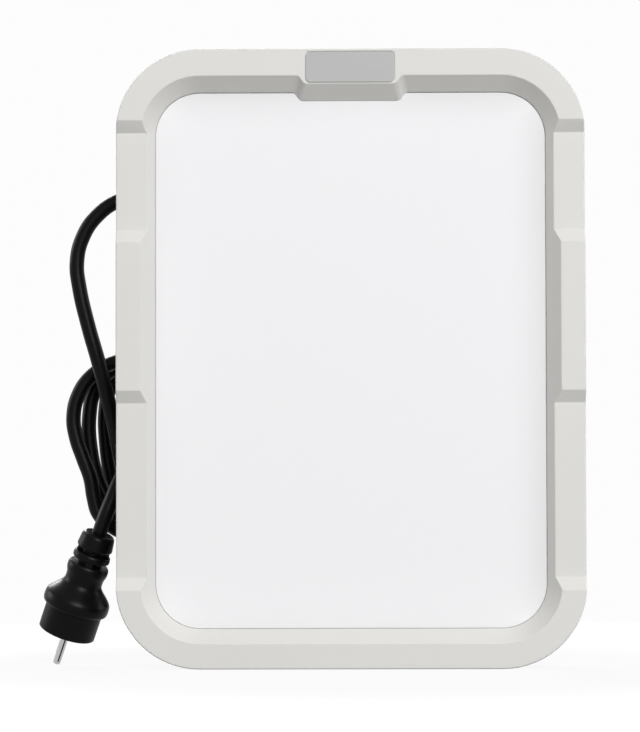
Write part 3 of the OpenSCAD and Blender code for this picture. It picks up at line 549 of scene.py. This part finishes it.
# %% Bezel: rings
FRAME_W, FRAME_H, FRAME_R = 294 * MM, 388 * MM, 52.5 * MM
CORNER_STEPS = 16
FACE_Y, WINDOW_Y, DIFFUSER_Y = -26 * MM, -16 * MM, -14.5 * MM
MID_Z = FRAME_H / 2
SIDE_BAR, TOP_BAR, LOW_BAR, SKIRT = 15.4 * MM, 16.8 * MM, 15.9 * MM, 3 * MM
BEVEL_W, BEVEL_D, TOP_BEVEL_MORE = 8.8 * MM, 10 * MM, 0.8 * MM
NEAR, SLACK, MIDDLE_REACH = 0.02 * MM, 0.01 * MM, 10 * MM


def rounded_plane(name, width, height, radius, y, z, segments):
    """An upright rounded rectangle that faces the front, left open in edit mode."""
    bpy.ops.object.select_all(action="DESELECT")
    bpy.ops.mesh.primitive_plane_add(size=1, location=(0, y, z), rotation=(math.pi / 2, 0, 0))
    piece = bpy.context.object
    piece.name = piece.data.name = name
    piece.scale = (width, height, 1)
    bpy.ops.object.transform_apply(location=True, rotation=True, scale=True)
    bpy.ops.object.mode_set(mode="EDIT")
    bpy.ops.mesh.select_all(action="SELECT")
    bpy.ops.mesh.bevel(offset=radius, segments=segments, affect="VERTICES", clamp_overlap=False)
    return piece


bezel = rounded_plane("bezel", FRAME_W, FRAME_H, FRAME_R, FACE_Y, MID_Z, CORNER_STEPS)
bpy.ops.mesh.select_mode(type="FACE")
bpy.ops.mesh.select_all(action="SELECT")
bpy.ops.mesh.inset(thickness=SIDE_BAR)
inner_x, inner_z = FRAME_W / 2 - SIDE_BAR + SLACK, MID_Z - SIDE_BAR + SLACK
for way, bar_w in ((1, TOP_BAR), (-1, LOW_BAR)):
    choose(bezel, "VERT", lambda p: abs(p.x) < inner_x and 0 < way * (p.z - MID_Z) < inner_z)
    bpy.ops.transform.translate(value=(0, 0, way * (SIDE_BAR - bar_w)))
choose(bezel, "FACE", lambda p: (p - Vector((0, FACE_Y, MID_Z))).length < MIDDLE_REACH)
bpy.ops.mesh.inset(thickness=BEVEL_W, depth=-BEVEL_D)
choose(bezel, "VERT", lambda p: p.y > WINDOW_Y - NEAR and p.z > MID_Z)
bpy.ops.transform.translate(value=(0, 0, -TOP_BEVEL_MORE))
choose(bezel, "FACE", lambda p: p.y > WINDOW_Y - NEAR)
bpy.ops.mesh.extrude_region_move(TRANSFORM_OT_translate={"value": (0, DIFFUSER_Y - WINDOW_Y, 0)})
bpy.ops.mesh.delete(type="ONLY_FACE")
print("bezel front has", len(bmesh.from_edit_mesh(bezel.data).faces), "faces")

# %% Bezel: skirt and flange


def rim_edges(piece, test):
    """In edit mode, selects the open edges of a piece whose middle passes a test."""
    bpy.ops.mesh.select_mode(type="EDGE")
    bpy.ops.mesh.select_all(action="DESELECT")
    mesh = bmesh.from_edit_mesh(piece.data)
    for edge in mesh.edges:
        if edge.is_boundary and test((edge.verts[0].co + edge.verts[1].co) / 2):
            edge.select_set(True)
    bmesh.update_edit_mesh(piece.data)


rim_edges(bezel, lambda p: p.y < WINDOW_Y)
bpy.ops.mesh.extrude_region_move(TRANSFORM_OT_translate={"value": (0, -FACE_Y, 0)})
bpy.ops.mesh.edge_face_add()
bpy.ops.mesh.select_mode(type="FACE")
bpy.ops.mesh.inset(thickness=SKIRT)
bpy.ops.mesh.extrude_region_move(TRANSFORM_OT_translate={"value": (0, DIFFUSER_Y, 0)})
bpy.ops.mesh.delete(type="ONLY_FACE")
rim_edges(bezel, lambda p: True)
bpy.ops.mesh.bridge_edge_loops()
bpy.ops.mesh.select_all(action="SELECT")
bpy.ops.mesh.normals_make_consistent(inside=False)
print("bezel closed, open edges:", sum(e.is_boundary for e in bmesh.from_edit_mesh(bezel.data).edges))

# %% Bezel: fields and pad
FIELD_D, FIELD_RAMP = 4.7 * MM, 7.8 * MM
FIELDS = [(MID_Z + 111 * MM, 30.5 * MM), (MID_Z - 82.5 * MM, 54.5 * MM)]
PAD_HALF, PAD_FLARE, PAD_DROP, PAD_TAPER = 29.2 * MM, 2.7 * MM, 5.3 * MM, 2.6 * MM
PAD_CUT_REACH, MERGE = 100 * MM, 0.9 * MM


def field_depth(z):
    """How far the face lies back at a height."""
    shares = [1 - (abs(z - middle) - half) / FIELD_RAMP for middle, half in FIELDS]
    return FIELD_D * max(0, min(1, max(shares)))


for middle, half in FIELDS:
    for z in (middle - half - FIELD_RAMP, middle - half, middle + half, middle + half + FIELD_RAMP):
        bpy.ops.mesh.select_all(action="SELECT")
        bpy.ops.mesh.bisect(plane_co=(0, 0, z), plane_no=(0, 0, 1))
for x in (-PAD_HALF - PAD_FLARE, -PAD_HALF, PAD_HALF, PAD_HALF + PAD_FLARE):
    choose(bezel, "FACE", lambda p: p.z > MID_Z and abs(p.x) < PAD_CUT_REACH)
    bpy.ops.mesh.bisect(plane_co=(x, 0, 0), plane_no=(1, 0, 0))
bpy.ops.mesh.select_all(action="SELECT")
bpy.ops.mesh.remove_doubles(threshold=MERGE)

mesh = bmesh.from_edit_mesh(bezel.data)
moves = {}
for v in mesh.verts:
    depth = field_depth(v.co.z) if abs(v.co.y - FACE_Y) < NEAR else 0
    if depth:
        feet = [e.other_vert(v).co for e in v.link_edges if abs(e.other_vert(v).co.y - WINDOW_Y) < NEAR]
        way = (feet[0] - v.co) * depth / BEVEL_D if feet else Vector((0, depth, 0))
        moves.setdefault(tuple(round(x, 6) for x in way), []).append(v.co.copy())
for way, places in moves.items():
    choose(bezel, "VERT", lambda p: any((p - q).length < NEAR for q in places))
    bpy.ops.transform.translate(value=way)
choose(bezel, "VERT", lambda p: abs(p.x) < PAD_HALF + NEAR and p.y < DIFFUSER_Y + NEAR
       and MID_Z < p.z < FRAME_H - TOP_BAR + NEAR)
bpy.ops.transform.translate(value=(0, 0, -PAD_DROP))
pad_lines = (PAD_HALF, PAD_HALF + PAD_FLARE)
for way in (-1, 1):
    choose(bezel, "VERT", lambda p: min(abs(way * p.x - x) for x in pad_lines) < NEAR
           and WINDOW_Y - NEAR < p.y < DIFFUSER_Y + NEAR and p.z > MID_Z)
    bpy.ops.transform.translate(value=(way * PAD_TAPER, 0, 0))
print("fields sunk in", len(moves), "moves")

# %% Bezel: round edges
PAD_ROUND, OUTER_ROUND, EDGE_ROUND = 2.4 * MM, 0.9 * MM, 0.4 * MM
OUTLINE_NEAR = 0.12 * MM


def beyond(p):
    """How far a point lies outside the bezel's outline."""
    x, z = abs(p.x) - FRAME_W / 2 + FRAME_R, abs(p.z - MID_Z) - FRAME_H / 2 + FRAME_R
    return math.hypot(max(x, 0), max(z, 0)) + min(max(x, z), 0) - FRAME_R


pad_edges = [x + PAD_TAPER * share for x in pad_lines for share in (0.5, 1)]
found = choose(bezel, "EDGE", lambda p: FACE_Y + NEAR < p.y < DIFFUSER_Y - NEAR
               and MID_Z < p.z < FRAME_H - TOP_BAR and min(abs(abs(p.x) - x) for x in pad_edges) < NEAR)
bpy.ops.mesh.bevel(offset=PAD_ROUND, segments=5, affect="EDGES")
print("pad edges rounded:", found)
found = choose(bezel, "EDGE", lambda p: p.y < FACE_Y + FIELD_D + NEAR and abs(beyond(p)) < OUTLINE_NEAR)
bpy.ops.mesh.bevel(offset=OUTER_ROUND, segments=6, affect="EDGES")
print("outer edges rounded:", found)
bpy.ops.object.mode_set(mode="OBJECT")

# %% Bezel: soft edges and the plate's pocket
PLATE_W, PLATE_H, PLATE_T, PLATE_R = 55.6 * MM, 19.2 * MM, 1 * MM, 3 * MM
PLATE_PROUD, PLATE_PLAY, PLATE_DOWN, POCKET_RUN = 0.3 * MM, 0.9 * MM, 1.9 * MM, 2 * MM
PLATE_Z = FRAME_H - PLATE_DOWN - PLATE_H / 2


def cut(piece, cutter, operation="DIFFERENCE"):
    """Cuts one piece by another, or joins them, and removes the other."""
    pick(piece)
    tool = piece.modifiers.new("cut", "BOOLEAN")
    tool.operation = operation
    tool.object = cutter
    tool.solver = "EXACT"
    bpy.ops.object.modifier_apply(modifier=tool.name)
    bpy.data.objects.remove(cutter)


def upright_slab(name, width, height, radius, y0, y1, z, segments=6):
    """A rounded slab between two depths, in object mode."""
    piece = rounded_plane(name, width, height, radius, y0, z, segments)
    bpy.ops.mesh.select_mode(type="FACE")
    bpy.ops.mesh.select_all(action="SELECT")
    bpy.ops.mesh.extrude_region_move(TRANSFORM_OT_translate={"value": (0, y1 - y0, 0)})
    bpy.ops.mesh.select_all(action="SELECT")
    bpy.ops.mesh.normals_make_consistent(inside=False)
    bpy.ops.object.mode_set(mode="OBJECT")
    return piece


rounded(bezel, EDGE_ROUND, angle=20)
cut(bezel, upright_slab("pocket", PLATE_W + PLATE_PLAY, PLATE_H + PLATE_PLAY, PLATE_R,
                        FACE_Y - POCKET_RUN, FACE_Y + PLATE_T - PLATE_PROUD, PLATE_Z))
dressed(bezel, "lamp", "bezel", bezel_finish, "front_frame")

# %% [markdown]
# ## The plate
# A small silver plate sits in a pocket of the top bar. It is a rounded slab with a fine broken edge.
# It stays bare: only the brushed metal shows.

# %% Plate
SHEET_ROUND = 0.2 * MM
plate = upright_slab("silver_plate", PLATE_W, PLATE_H, PLATE_R, FACE_Y - PLATE_PROUD,
                     FACE_Y + PLATE_T - PLATE_PROUD, PLATE_Z, segments=8)
rounded(plate, SHEET_ROUND, angle=40, segments=2)
dressed(plate, "lamp", "plate", plate_finish, "name_plate")

# %% [markdown]
# ## The light panel
# An opal sheet closes the window from behind. Its middle stands proud of its edge, and its rim carries
# painted shade. A fine grey bead in the gap to the bezel is painted shade as well: it stands for the
# shadow in that gap. Both are drawn from one outline, by inset and extrude.

# %% Light panel
WINDOW_W = FRAME_W - 2 * (SIDE_BAR + BEVEL_W)
WINDOW_LOW, WINDOW_HIGH = LOW_BAR + BEVEL_W, FRAME_H - TOP_BAR - BEVEL_W - TOP_BEVEL_MORE
WINDOW_H, WINDOW_Z = WINDOW_HIGH - WINDOW_LOW, (WINDOW_HIGH + WINDOW_LOW) / 2
WINDOW_R = FRAME_R - SIDE_BAR - BEVEL_W
PANEL_LAP, PANEL_T, PANEL_PROUD = 7 * MM, 3 * MM, 0.9 * MM
BEAD_W, BEAD_T = 0.45 * MM, 0.35 * MM

panel = upright_slab("opal_panel", WINDOW_W + 2 * PANEL_LAP, WINDOW_H + 2 * PANEL_LAP,
                     WINDOW_R + PANEL_LAP, DIFFUSER_Y, DIFFUSER_Y + PANEL_T, WINDOW_Z, CORNER_STEPS)
bpy.ops.object.mode_set(mode="EDIT")
choose(panel, "FACE", lambda p: abs(p.y - DIFFUSER_Y) < NEAR)
bpy.ops.mesh.inset(thickness=PANEL_LAP + BEAD_W)
bpy.ops.mesh.extrude_region_move(TRANSFORM_OT_translate={"value": (0, -PANEL_PROUD, 0)})
bpy.ops.object.mode_set(mode="OBJECT")
rounded(panel, SHEET_ROUND, angle=40, segments=2)
dressed(panel, "lamp", "diffuser", opal_finish, "diffuser")

# Painted shade: a thin grey ring in the gap round the window stands for the shadow there.
shade_bead = rounded_plane("gap_shade_bead", WINDOW_W, WINDOW_H, WINDOW_R, DIFFUSER_Y - BEAD_T, WINDOW_Z, CORNER_STEPS)
bpy.ops.mesh.select_mode(type="FACE")
bpy.ops.mesh.select_all(action="SELECT")
bpy.ops.mesh.inset(thickness=BEAD_W)
bpy.ops.mesh.delete(type="ONLY_FACE")
bpy.ops.mesh.select_all(action="SELECT")
bpy.ops.mesh.extrude_region_move(TRANSFORM_OT_translate={"value": (0, BEAD_T, 0)})
bpy.ops.mesh.select_all(action="SELECT")
bpy.ops.mesh.normals_make_consistent(inside=False)
bpy.ops.object.mode_set(mode="OBJECT")
dressed(shade_bead, "lamp", "seal", gap_shade_finish)

# %% [markdown]
# ## Turned pieces
# The plug, its pins, the feet and the screw heads are round. Each is drawn as by hand: a circle is
# extruded ring by ring, and every new ring is scaled to its radius. A list of radii and heights is then
# all that a shape needs, and grooves or soft edges are only a few more rings.

# %% Lathe


def turned(name, rings, sides):
    """A round piece along Z from rings of (radius, height) in millimetres, closed at both ends."""
    bpy.ops.object.select_all(action="DESELECT")
    radius, height = (x * MM for x in rings[0])
    bpy.ops.mesh.primitive_circle_add(vertices=sides, radius=radius, location=(0, 0, height))
    piece = bpy.context.object
    piece.name = piece.data.name = name
    bpy.ops.object.transform_apply(location=True, rotation=True, scale=True)
    bpy.ops.object.mode_set(mode="EDIT")
    bpy.ops.mesh.select_mode(type="EDGE")
    bpy.ops.mesh.select_all(action="SELECT")
    for ring in rings[1:]:
        wide, high = (x * MM for x in ring)
        bpy.ops.mesh.extrude_region_move(TRANSFORM_OT_translate={"value": (0, 0, high - height)})
        grow = wide / radius
        bpy.ops.transform.resize(value=(grow, grow, 1), center_override=(0, 0, high))
        radius, height = wide, high
    bpy.ops.mesh.select_all(action="SELECT")
    bpy.ops.mesh.remove_doubles(threshold=NEAR / 100)
    bpy.ops.mesh.fill_holes(sides=0)
    bpy.ops.mesh.select_all(action="SELECT")
    bpy.ops.mesh.normals_make_consistent(inside=False)
    bpy.ops.object.mode_set(mode="OBJECT")
    return piece


def box_between(name, low, high):
    """A block between two corners in millimetres, in object mode."""
    low, high = Vector(low) * MM, Vector(high) * MM
    bpy.ops.object.select_all(action="DESELECT")
    bpy.ops.mesh.primitive_cube_add(size=1, location=(low + high) / 2)
    piece = bpy.context.object
    piece.name = piece.data.name = name
    piece.scale = high - low
    bpy.ops.object.transform_apply(location=True, rotation=True, scale=True)
    return piece


def put(piece, place):
    """Moves a finished shape to its place and bakes that place into its mesh."""
    pick(piece)
    piece.matrix_world = place
    bpy.ops.object.transform_apply(location=True, rotation=True, scale=True)
    return piece


def repeated(piece, places):
    """Sets a piece at the first place and a copy of it at every other one, and joins them."""
    copies = [piece]
    for _ in places[1:]:
        copy = bpy.data.objects.new(piece.name, piece.data.copy())
        bpy.context.scene.collection.objects.link(copy)
        copies.append(copy)
    joined([put(copy, place) for copy, place in zip(copies, places)])


print("lathe ready")

# %% [markdown]
# ## The plug
# The rubber plug has three collars that let the lead bend, a hollow waist that flares into a gripping
# flange, and a plain front. The slots between the collars are bridged, the first at the sides and the
# second front and back. Two grooves at the sides hold the earth strips.

# %% Plug
PLUG_PLACE = Matrix.Translation(PLUG_AT) @ PLUG_TURN
GROOVE_IN, GROOVE_OUT, GROOVE_HALF_W, GROOVE_LOW, GROOVE_HIGH = 16.1, 20, 3.5, -70, -51.8
WAIST = [(between(12.1, 21.2, eased(i / 10)), between(-32.5, -45.5, i / 10)) for i in range(11)]
plug_rings = [
    (5.0, 0.3), (8.4, 0.2), (9.6, -0.3), (10.4, -1.3), (10.8, -3.0), (11.2, -6.5), (11.5, -8.6),
    (11.4, -9.4), (10.9, -10.0), (7.8, -10.2), (7.8, -13.0), (11.0, -13.2), (11.7, -13.9), (12.0, -15.0),
    (12.0, -16.8), (11.6, -17.5), (11.1, -17.8), (8.0, -18.0), (8.0, -20.5), (12.2, -20.7),
    (12.9, -21.5), (13.3, -22.9), (13.3, -25.2), (12.9, -26.8), (12.4, -28.2), (12.1, -30.0), *WAIST,
    (21.3, -46.8), (21.3, -48.6), (21.1, -49.8), (20.7, -50.7), (20.0, -51.3), (19.2, -51.6), (18.6, -51.8),
    (18.6, -67.2), (18.4, -68.1), (17.8, -68.6), (16.8, -68.8), (14.6, -68.8), (14.3, -68.2),
]
plug = turned("plug_rubber", plug_rings, sides=64)
side_bridge = ((-10.4, -3, -13.4), (10.4, 3, -9.8))
front_bridge = ((-2.2, -11.2, -20.9), (2.2, 11.2, -17.6))
nub = ((-0.9, -9.2, -13.4), (0.9, 0, -11.6))
for low, high in (side_bridge, front_bridge, nub):
    cut(plug, box_between("bridge", low, high), "UNION")
for left, right in ((-GROOVE_OUT, -GROOVE_IN), (GROOVE_IN, GROOVE_OUT)):
    low, high = (left, -GROOVE_HALF_W, GROOVE_LOW), (right, GROOVE_HALF_W, GROOVE_HIGH)
    cut(plug, box_between("groove", low, high))
dressed(put(plug, PLUG_PLACE), "lamp", "plug", plug_finish, "plug_body")

# %% Plug pins
PIN_OUT = 9.5
SEAM_STREAK_LEFT, SEAM_STREAK_RIGHT, STREAK_ROUND = 0.2, 1.1, 0.1 * MM
pin_rings = [(2.4, -60.8), (2.4, -86.0), (2.25, -86.8), (1.9, -87.4), (1.3, -87.7), (0.6, -87.8)]
pin_places = [Matrix.Translation((0, side * PIN_OUT * MM, 0)) for side in (-1, 1)]
pins = turned("plug_pin", pin_rings, sides=32)
cut(pins, box_between("seam", (SEAM_STREAK_LEFT, -3, -90), (SEAM_STREAK_RIGHT, -1.5, -62)))
repeated(pins, pin_places)
dressed(put(pins, PLUG_PLACE), "lamp", "pin", pin_finish, "plug_pins")
# A dark strip in each seam groove is a painted reflection: it stands for the dark streak that the polished
# pins mirror.
dark_streaks = box_between("pin_dark_streaks", (SEAM_STREAK_LEFT, -2.2, -85.6), (SEAM_STREAK_RIGHT, -1, -66))
repeated(dark_streaks, pin_places)
rounded(dark_streaks, STREAK_ROUND, angle=40, segments=2)
dressed(put(dark_streaks, PLUG_PLACE), "lamp", "pin", pin_reflection_finish)

# %% Earth strips
STRIP_OUT, STRIP_HALF_T, STRIP_HALF_W, STRIP_ROUND = 16.5, 1, 2.6, 0.5 * MM
STRIP_LOW, STRIP_HIGH = -68.2, -52.4
strips = box_between("earth_strip", (-STRIP_HALF_T, -STRIP_HALF_W, STRIP_LOW),
                     (STRIP_HALF_T, STRIP_HALF_W, STRIP_HIGH))
repeated(strips, [Matrix.Translation((side * STRIP_OUT * MM, 0, 0)) for side in (1, -1)])
rounded(strips, STRIP_ROUND, angle=40)
dressed(put(strips, PLUG_PLACE), "lamp", "pin", pin_finish, "plug_earth")

# %% [markdown]
# ## Castings, bars and mouldings at the back
# The housing, the driver cover, the stand and the small mouldings already have the right shape as
# solids, but a solid's edges are knife sharp, and real ones catch the light on a small round. A copy of
# each solid is merged, its flat areas are joined, and its edges are rounded, most of them by a few
# tenths of a millimetre. The solid itself stays untouched for the simulation, hidden.

# %% Softened copies
SAME_POINT, FLAT_ANGLE = 0.005 * MM, math.radians(0.5)


def softened(node, name, width, slot, finish, body="lamp", segments=2, angle=35):
    """A copy of a CAD solid, its edges rounded by a width in millimetres, which stands for it."""
    piece = bpy.data.objects.new(name, nodes[node].data.copy())
    bpy.context.scene.collection.objects.link(piece)
    pick(piece)
    bpy.ops.object.mode_set(mode="EDIT")
    bpy.ops.mesh.select_all(action="SELECT")
    bpy.ops.mesh.customdata_custom_splitnormals_clear()
    bpy.ops.mesh.remove_doubles(threshold=SAME_POINT)
    bpy.ops.mesh.dissolve_limited(angle_limit=FLAT_ANGLE)
    bpy.ops.object.mode_set(mode="OBJECT")
    rounded(piece, width * MM, angle, segments)
    dressed(piece, body, slot, finish, node)


softened("rear_housing", "rear_casting", 0.8, "rear", rear_finish)
softened("driver_cover", "driver_box", 2.0, "rear", rear_finish, segments=4)
softened("cable_entry", "entry_box", 0.8, "rear", rear_finish)
softened("stand_arms", "stand_side_bars", 0.5, "stand", stand_finish, "stand")
softened("stand_bracket", "stand_crossbar", 0.5, "stand", stand_finish, "stand")
softened("cord_hook", "cord_peg", 0.6, "hook", hook_finish)
softened("switch_body", "switch_shell", 0.4, "switch", switch_finish)
softened("switch_rocker", "rocker_key", 0.35, "rocker", rocker_finish, "rocker")
softened("gland_body", "gland_stem", 0.3, "gland", nylon_finish)
softened("gland_nut", "gland_dome", 0.3, "gland", nylon_finish)
softened("pivot_bolts", "stand_bolts", 0.4, "screw", steel_finish)

# %% [markdown]
# ## The marks of the switch
# A bar and a ring tell on from off. Both lie on the two faces of the rocker and tilt with it: the bar is
# a block with soft corners, and the ring is a lathe profile that closes on itself.

# %% Switch marks
ROCKER_AT, ROCKER_REST = Vector((36, 56, 292)) * MM, math.radians(10)
ROCKER_PLACE = Matrix.Translation(ROCKER_AT) @ Matrix.Rotation(ROCKER_REST, 4, "X")
ROCKER_CROWN, ROCKER_DIP, ROCKER_R = 4.62, 3.234, 11
MARK_OUT, MARK_SUNK, MARK_PROUD, MARK_ROUND = 5, -0.2, 0.12, 0.08 * MM
BAR_HALF_W, BAR_HALF_H, RING_IN, RING_OUT = 0.4, 2.1, 1.5, 2.2
slope = (ROCKER_CROWN - ROCKER_DIP) / ROCKER_R
bar = box_between("switch_marks", (-BAR_HALF_W, MARK_SUNK, -BAR_HALF_H), (BAR_HALF_W, MARK_PROUD, BAR_HALF_H))
ring_rings = [(RING_IN, MARK_SUNK), (RING_OUT, MARK_SUNK), (RING_OUT, MARK_PROUD), (RING_IN, MARK_PROUD)]
ring = turned("ring", ring_rings + ring_rings[:1], sides=40)
put(ring, Matrix.Rotation(-math.pi / 2, 4, "X"))
for mark, side in ((bar, 1), (ring, -1)):
    rounded(mark, MARK_ROUND, angle=40, segments=2)
    seat = Matrix.Translation(Vector((0, ROCKER_DIP + slope * MARK_OUT, side * MARK_OUT)) * MM)
    put(mark, ROCKER_PLACE @ seat @ Matrix.Rotation(-side * math.atan(slope), 4, "X"))
joined([bar, ring])
dressed(bar, "rocker", "rocker", mark_finish)

# %% [markdown]
# ## Rubber feet
# Two rubber sleeves on the crossbar keep the stand from slipping. Each is a turned sleeve with grip
# grooves, laid along the bar and swung out with the stand.

# %% Feet
FOOT_X = 46
foot_rings = [(9.5, -13), (12.2, -13), (12.8, -12.4), (13, -11.6)]
for groove in (-8, -4, 0, 4, 8):
    foot_rings += [(13, groove - 1.0), (12.2, groove - 0.6), (12.2, groove + 0.6), (13, groove + 1.0)]
foot_rings += [(13, 11.6), (12.8, 12.4), (12.2, 13), (9.5, 13)]
foot_low, foot_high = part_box("stand_feet")
bar_y, bar_z = (foot_low.y + foot_high.y) / 2, (foot_low.z + foot_high.z) / 2
along_bar = Matrix.Rotation(math.pi / 2, 4, "Y")
feet = turned("stand_foot", foot_rings, sides=48)
repeated(feet, [Matrix.Translation((side * FOOT_X * MM, bar_y, bar_z)) @ along_bar for side in (-1, 1)])
dressed(feet, "stand", "foot", foot_finish, "stand_feet")

# %% [markdown]
# ## Screws
# The screws at the back have low round heads with a cross recess. For each kind one head is turned, the
# cross is cut into it once, and its copies are set where the solids have theirs, each at its own angle.

# %% Screw heads
SHANK, RIM, SLOT_LOW, SLOT_ARM, SLOT_BLADE = 0.5, 0.35, 0.45, 0.62, 0.15
SHANK_DEPTH, DOME_ANGLES = 2, (0.35, 0.7, 1.0, 1.3)
FIRST_TURN, NEXT_TURN = 0.6, 1.7


def screw_heads(node, name, places, head_r, head_h, y):
    """Cross-recess heads at (x, z) places, whose undersides lie at a depth, all in millimetres."""
    rings = [(head_r * SHANK, -SHANK_DEPTH), (head_r * SHANK, 0), (head_r, 0), (head_r, head_h * RIM)]
    rings += [(head_r * math.cos(a), head_h * (RIM + (1 - RIM) * math.sin(a))) for a in DOME_ANGLES]
    arm, blade, low, high = head_r * SLOT_ARM, head_r * SLOT_BLADE, head_h * SLOT_LOW, head_h * 2
    heads = turned(name, rings, sides=24)
    cut(heads, box_between("slot", (-arm, -blade, low), (arm, blade, high)))
    cut(heads, box_between("slot", (-blade, -arm, low), (blade, arm, high)))
    outwards = Matrix.Rotation(-math.pi / 2, 4, "X")
    seats = []
    for x, z in places:
        turn = Matrix.Rotation(FIRST_TURN + NEXT_TURN * len(seats), 4, "Z")
        seats.append(Matrix.Translation(Vector((x, y, z)) * MM) @ outwards @ turn)
    repeated(heads, seats)
    dressed(heads, "lamp", "screw", steel_finish, node)


print("screw heads ready")

# %% Screws
LONG_SIDE_X, LONG_SIDE_Z = 136.9, 96
SHORT_SIDE_X, SHORT_SIDE_Z = 78, 182.9
PEG_X, PEG_Z, PEG_APART = -134.6, 183.65, 12
ENTRY_X, ENTRY_LOW_Z, ENTRY_HIGH_Z = -91.1, 282, 320
RIM_Y, SMALL_Y = 12, 15
RIM_HEAD, SMALL_HEAD = (4, 2.4), (3, 1.8)
mid_z = MID_Z / MM

rim_places = [(sx * x, mid_z + sz * z) for x, z in ((LONG_SIDE_X, LONG_SIDE_Z), (SHORT_SIDE_X, SHORT_SIDE_Z))
              for sx in (-1, 1) for sz in (-1, 1)]
peg_places = [(PEG_X, PEG_Z - PEG_APART), (PEG_X, PEG_Z + PEG_APART)]
entry_places = [(ENTRY_X, ENTRY_LOW_Z), (ENTRY_X, ENTRY_HIGH_Z)]
screw_heads("housing_screws", "rim_screw_heads", rim_places, *RIM_HEAD, RIM_Y)
screw_heads("hook_screws", "peg_screw_heads", peg_places, *SMALL_HEAD, SMALL_Y)
screw_heads("entry_screws", "entry_screw_heads", entry_places, *SMALL_HEAD, SMALL_Y)

# %% [markdown]
# ## The rest of the solids
# What sits inside the lamp is never seen from outside, but every solid still gets its own finish, so
# that the model stays right when it is taken apart.

# %% Finishes of the solids
finished = set()
for finish, names in (
    (seal_finish, ["diffuser_seal", "housing_seal", "gland_seal"]),
    (tray_finish, ["reflector_tray"]),
    (board_finish, ["led_boards"]),
    (led_finish, ["leds"]),
    (steel_finish, ["board_screws", "driver_screws", "cover_screws"]),
    (driver_finish, ["driver_module"]),
    (terminal_finish, ["terminal_block"]),
    (nylon_finish, ["gland_locknut", "pivot_washers"]),
    (rubber_finish, ["supply_lead"]),
):
    finished.update(names)
    for name in names:
        for holder in nodes[name].material_slots:
            holder.material = finish
print("solids without a finish:", [n for n, o in nodes.items() if not o.hide_render and n not in finished])

# %% [markdown]
# ## Size and finish
# The box of the dressed lamp is measured over everything that renders, except the floor.

# %% Measure the box
low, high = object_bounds()
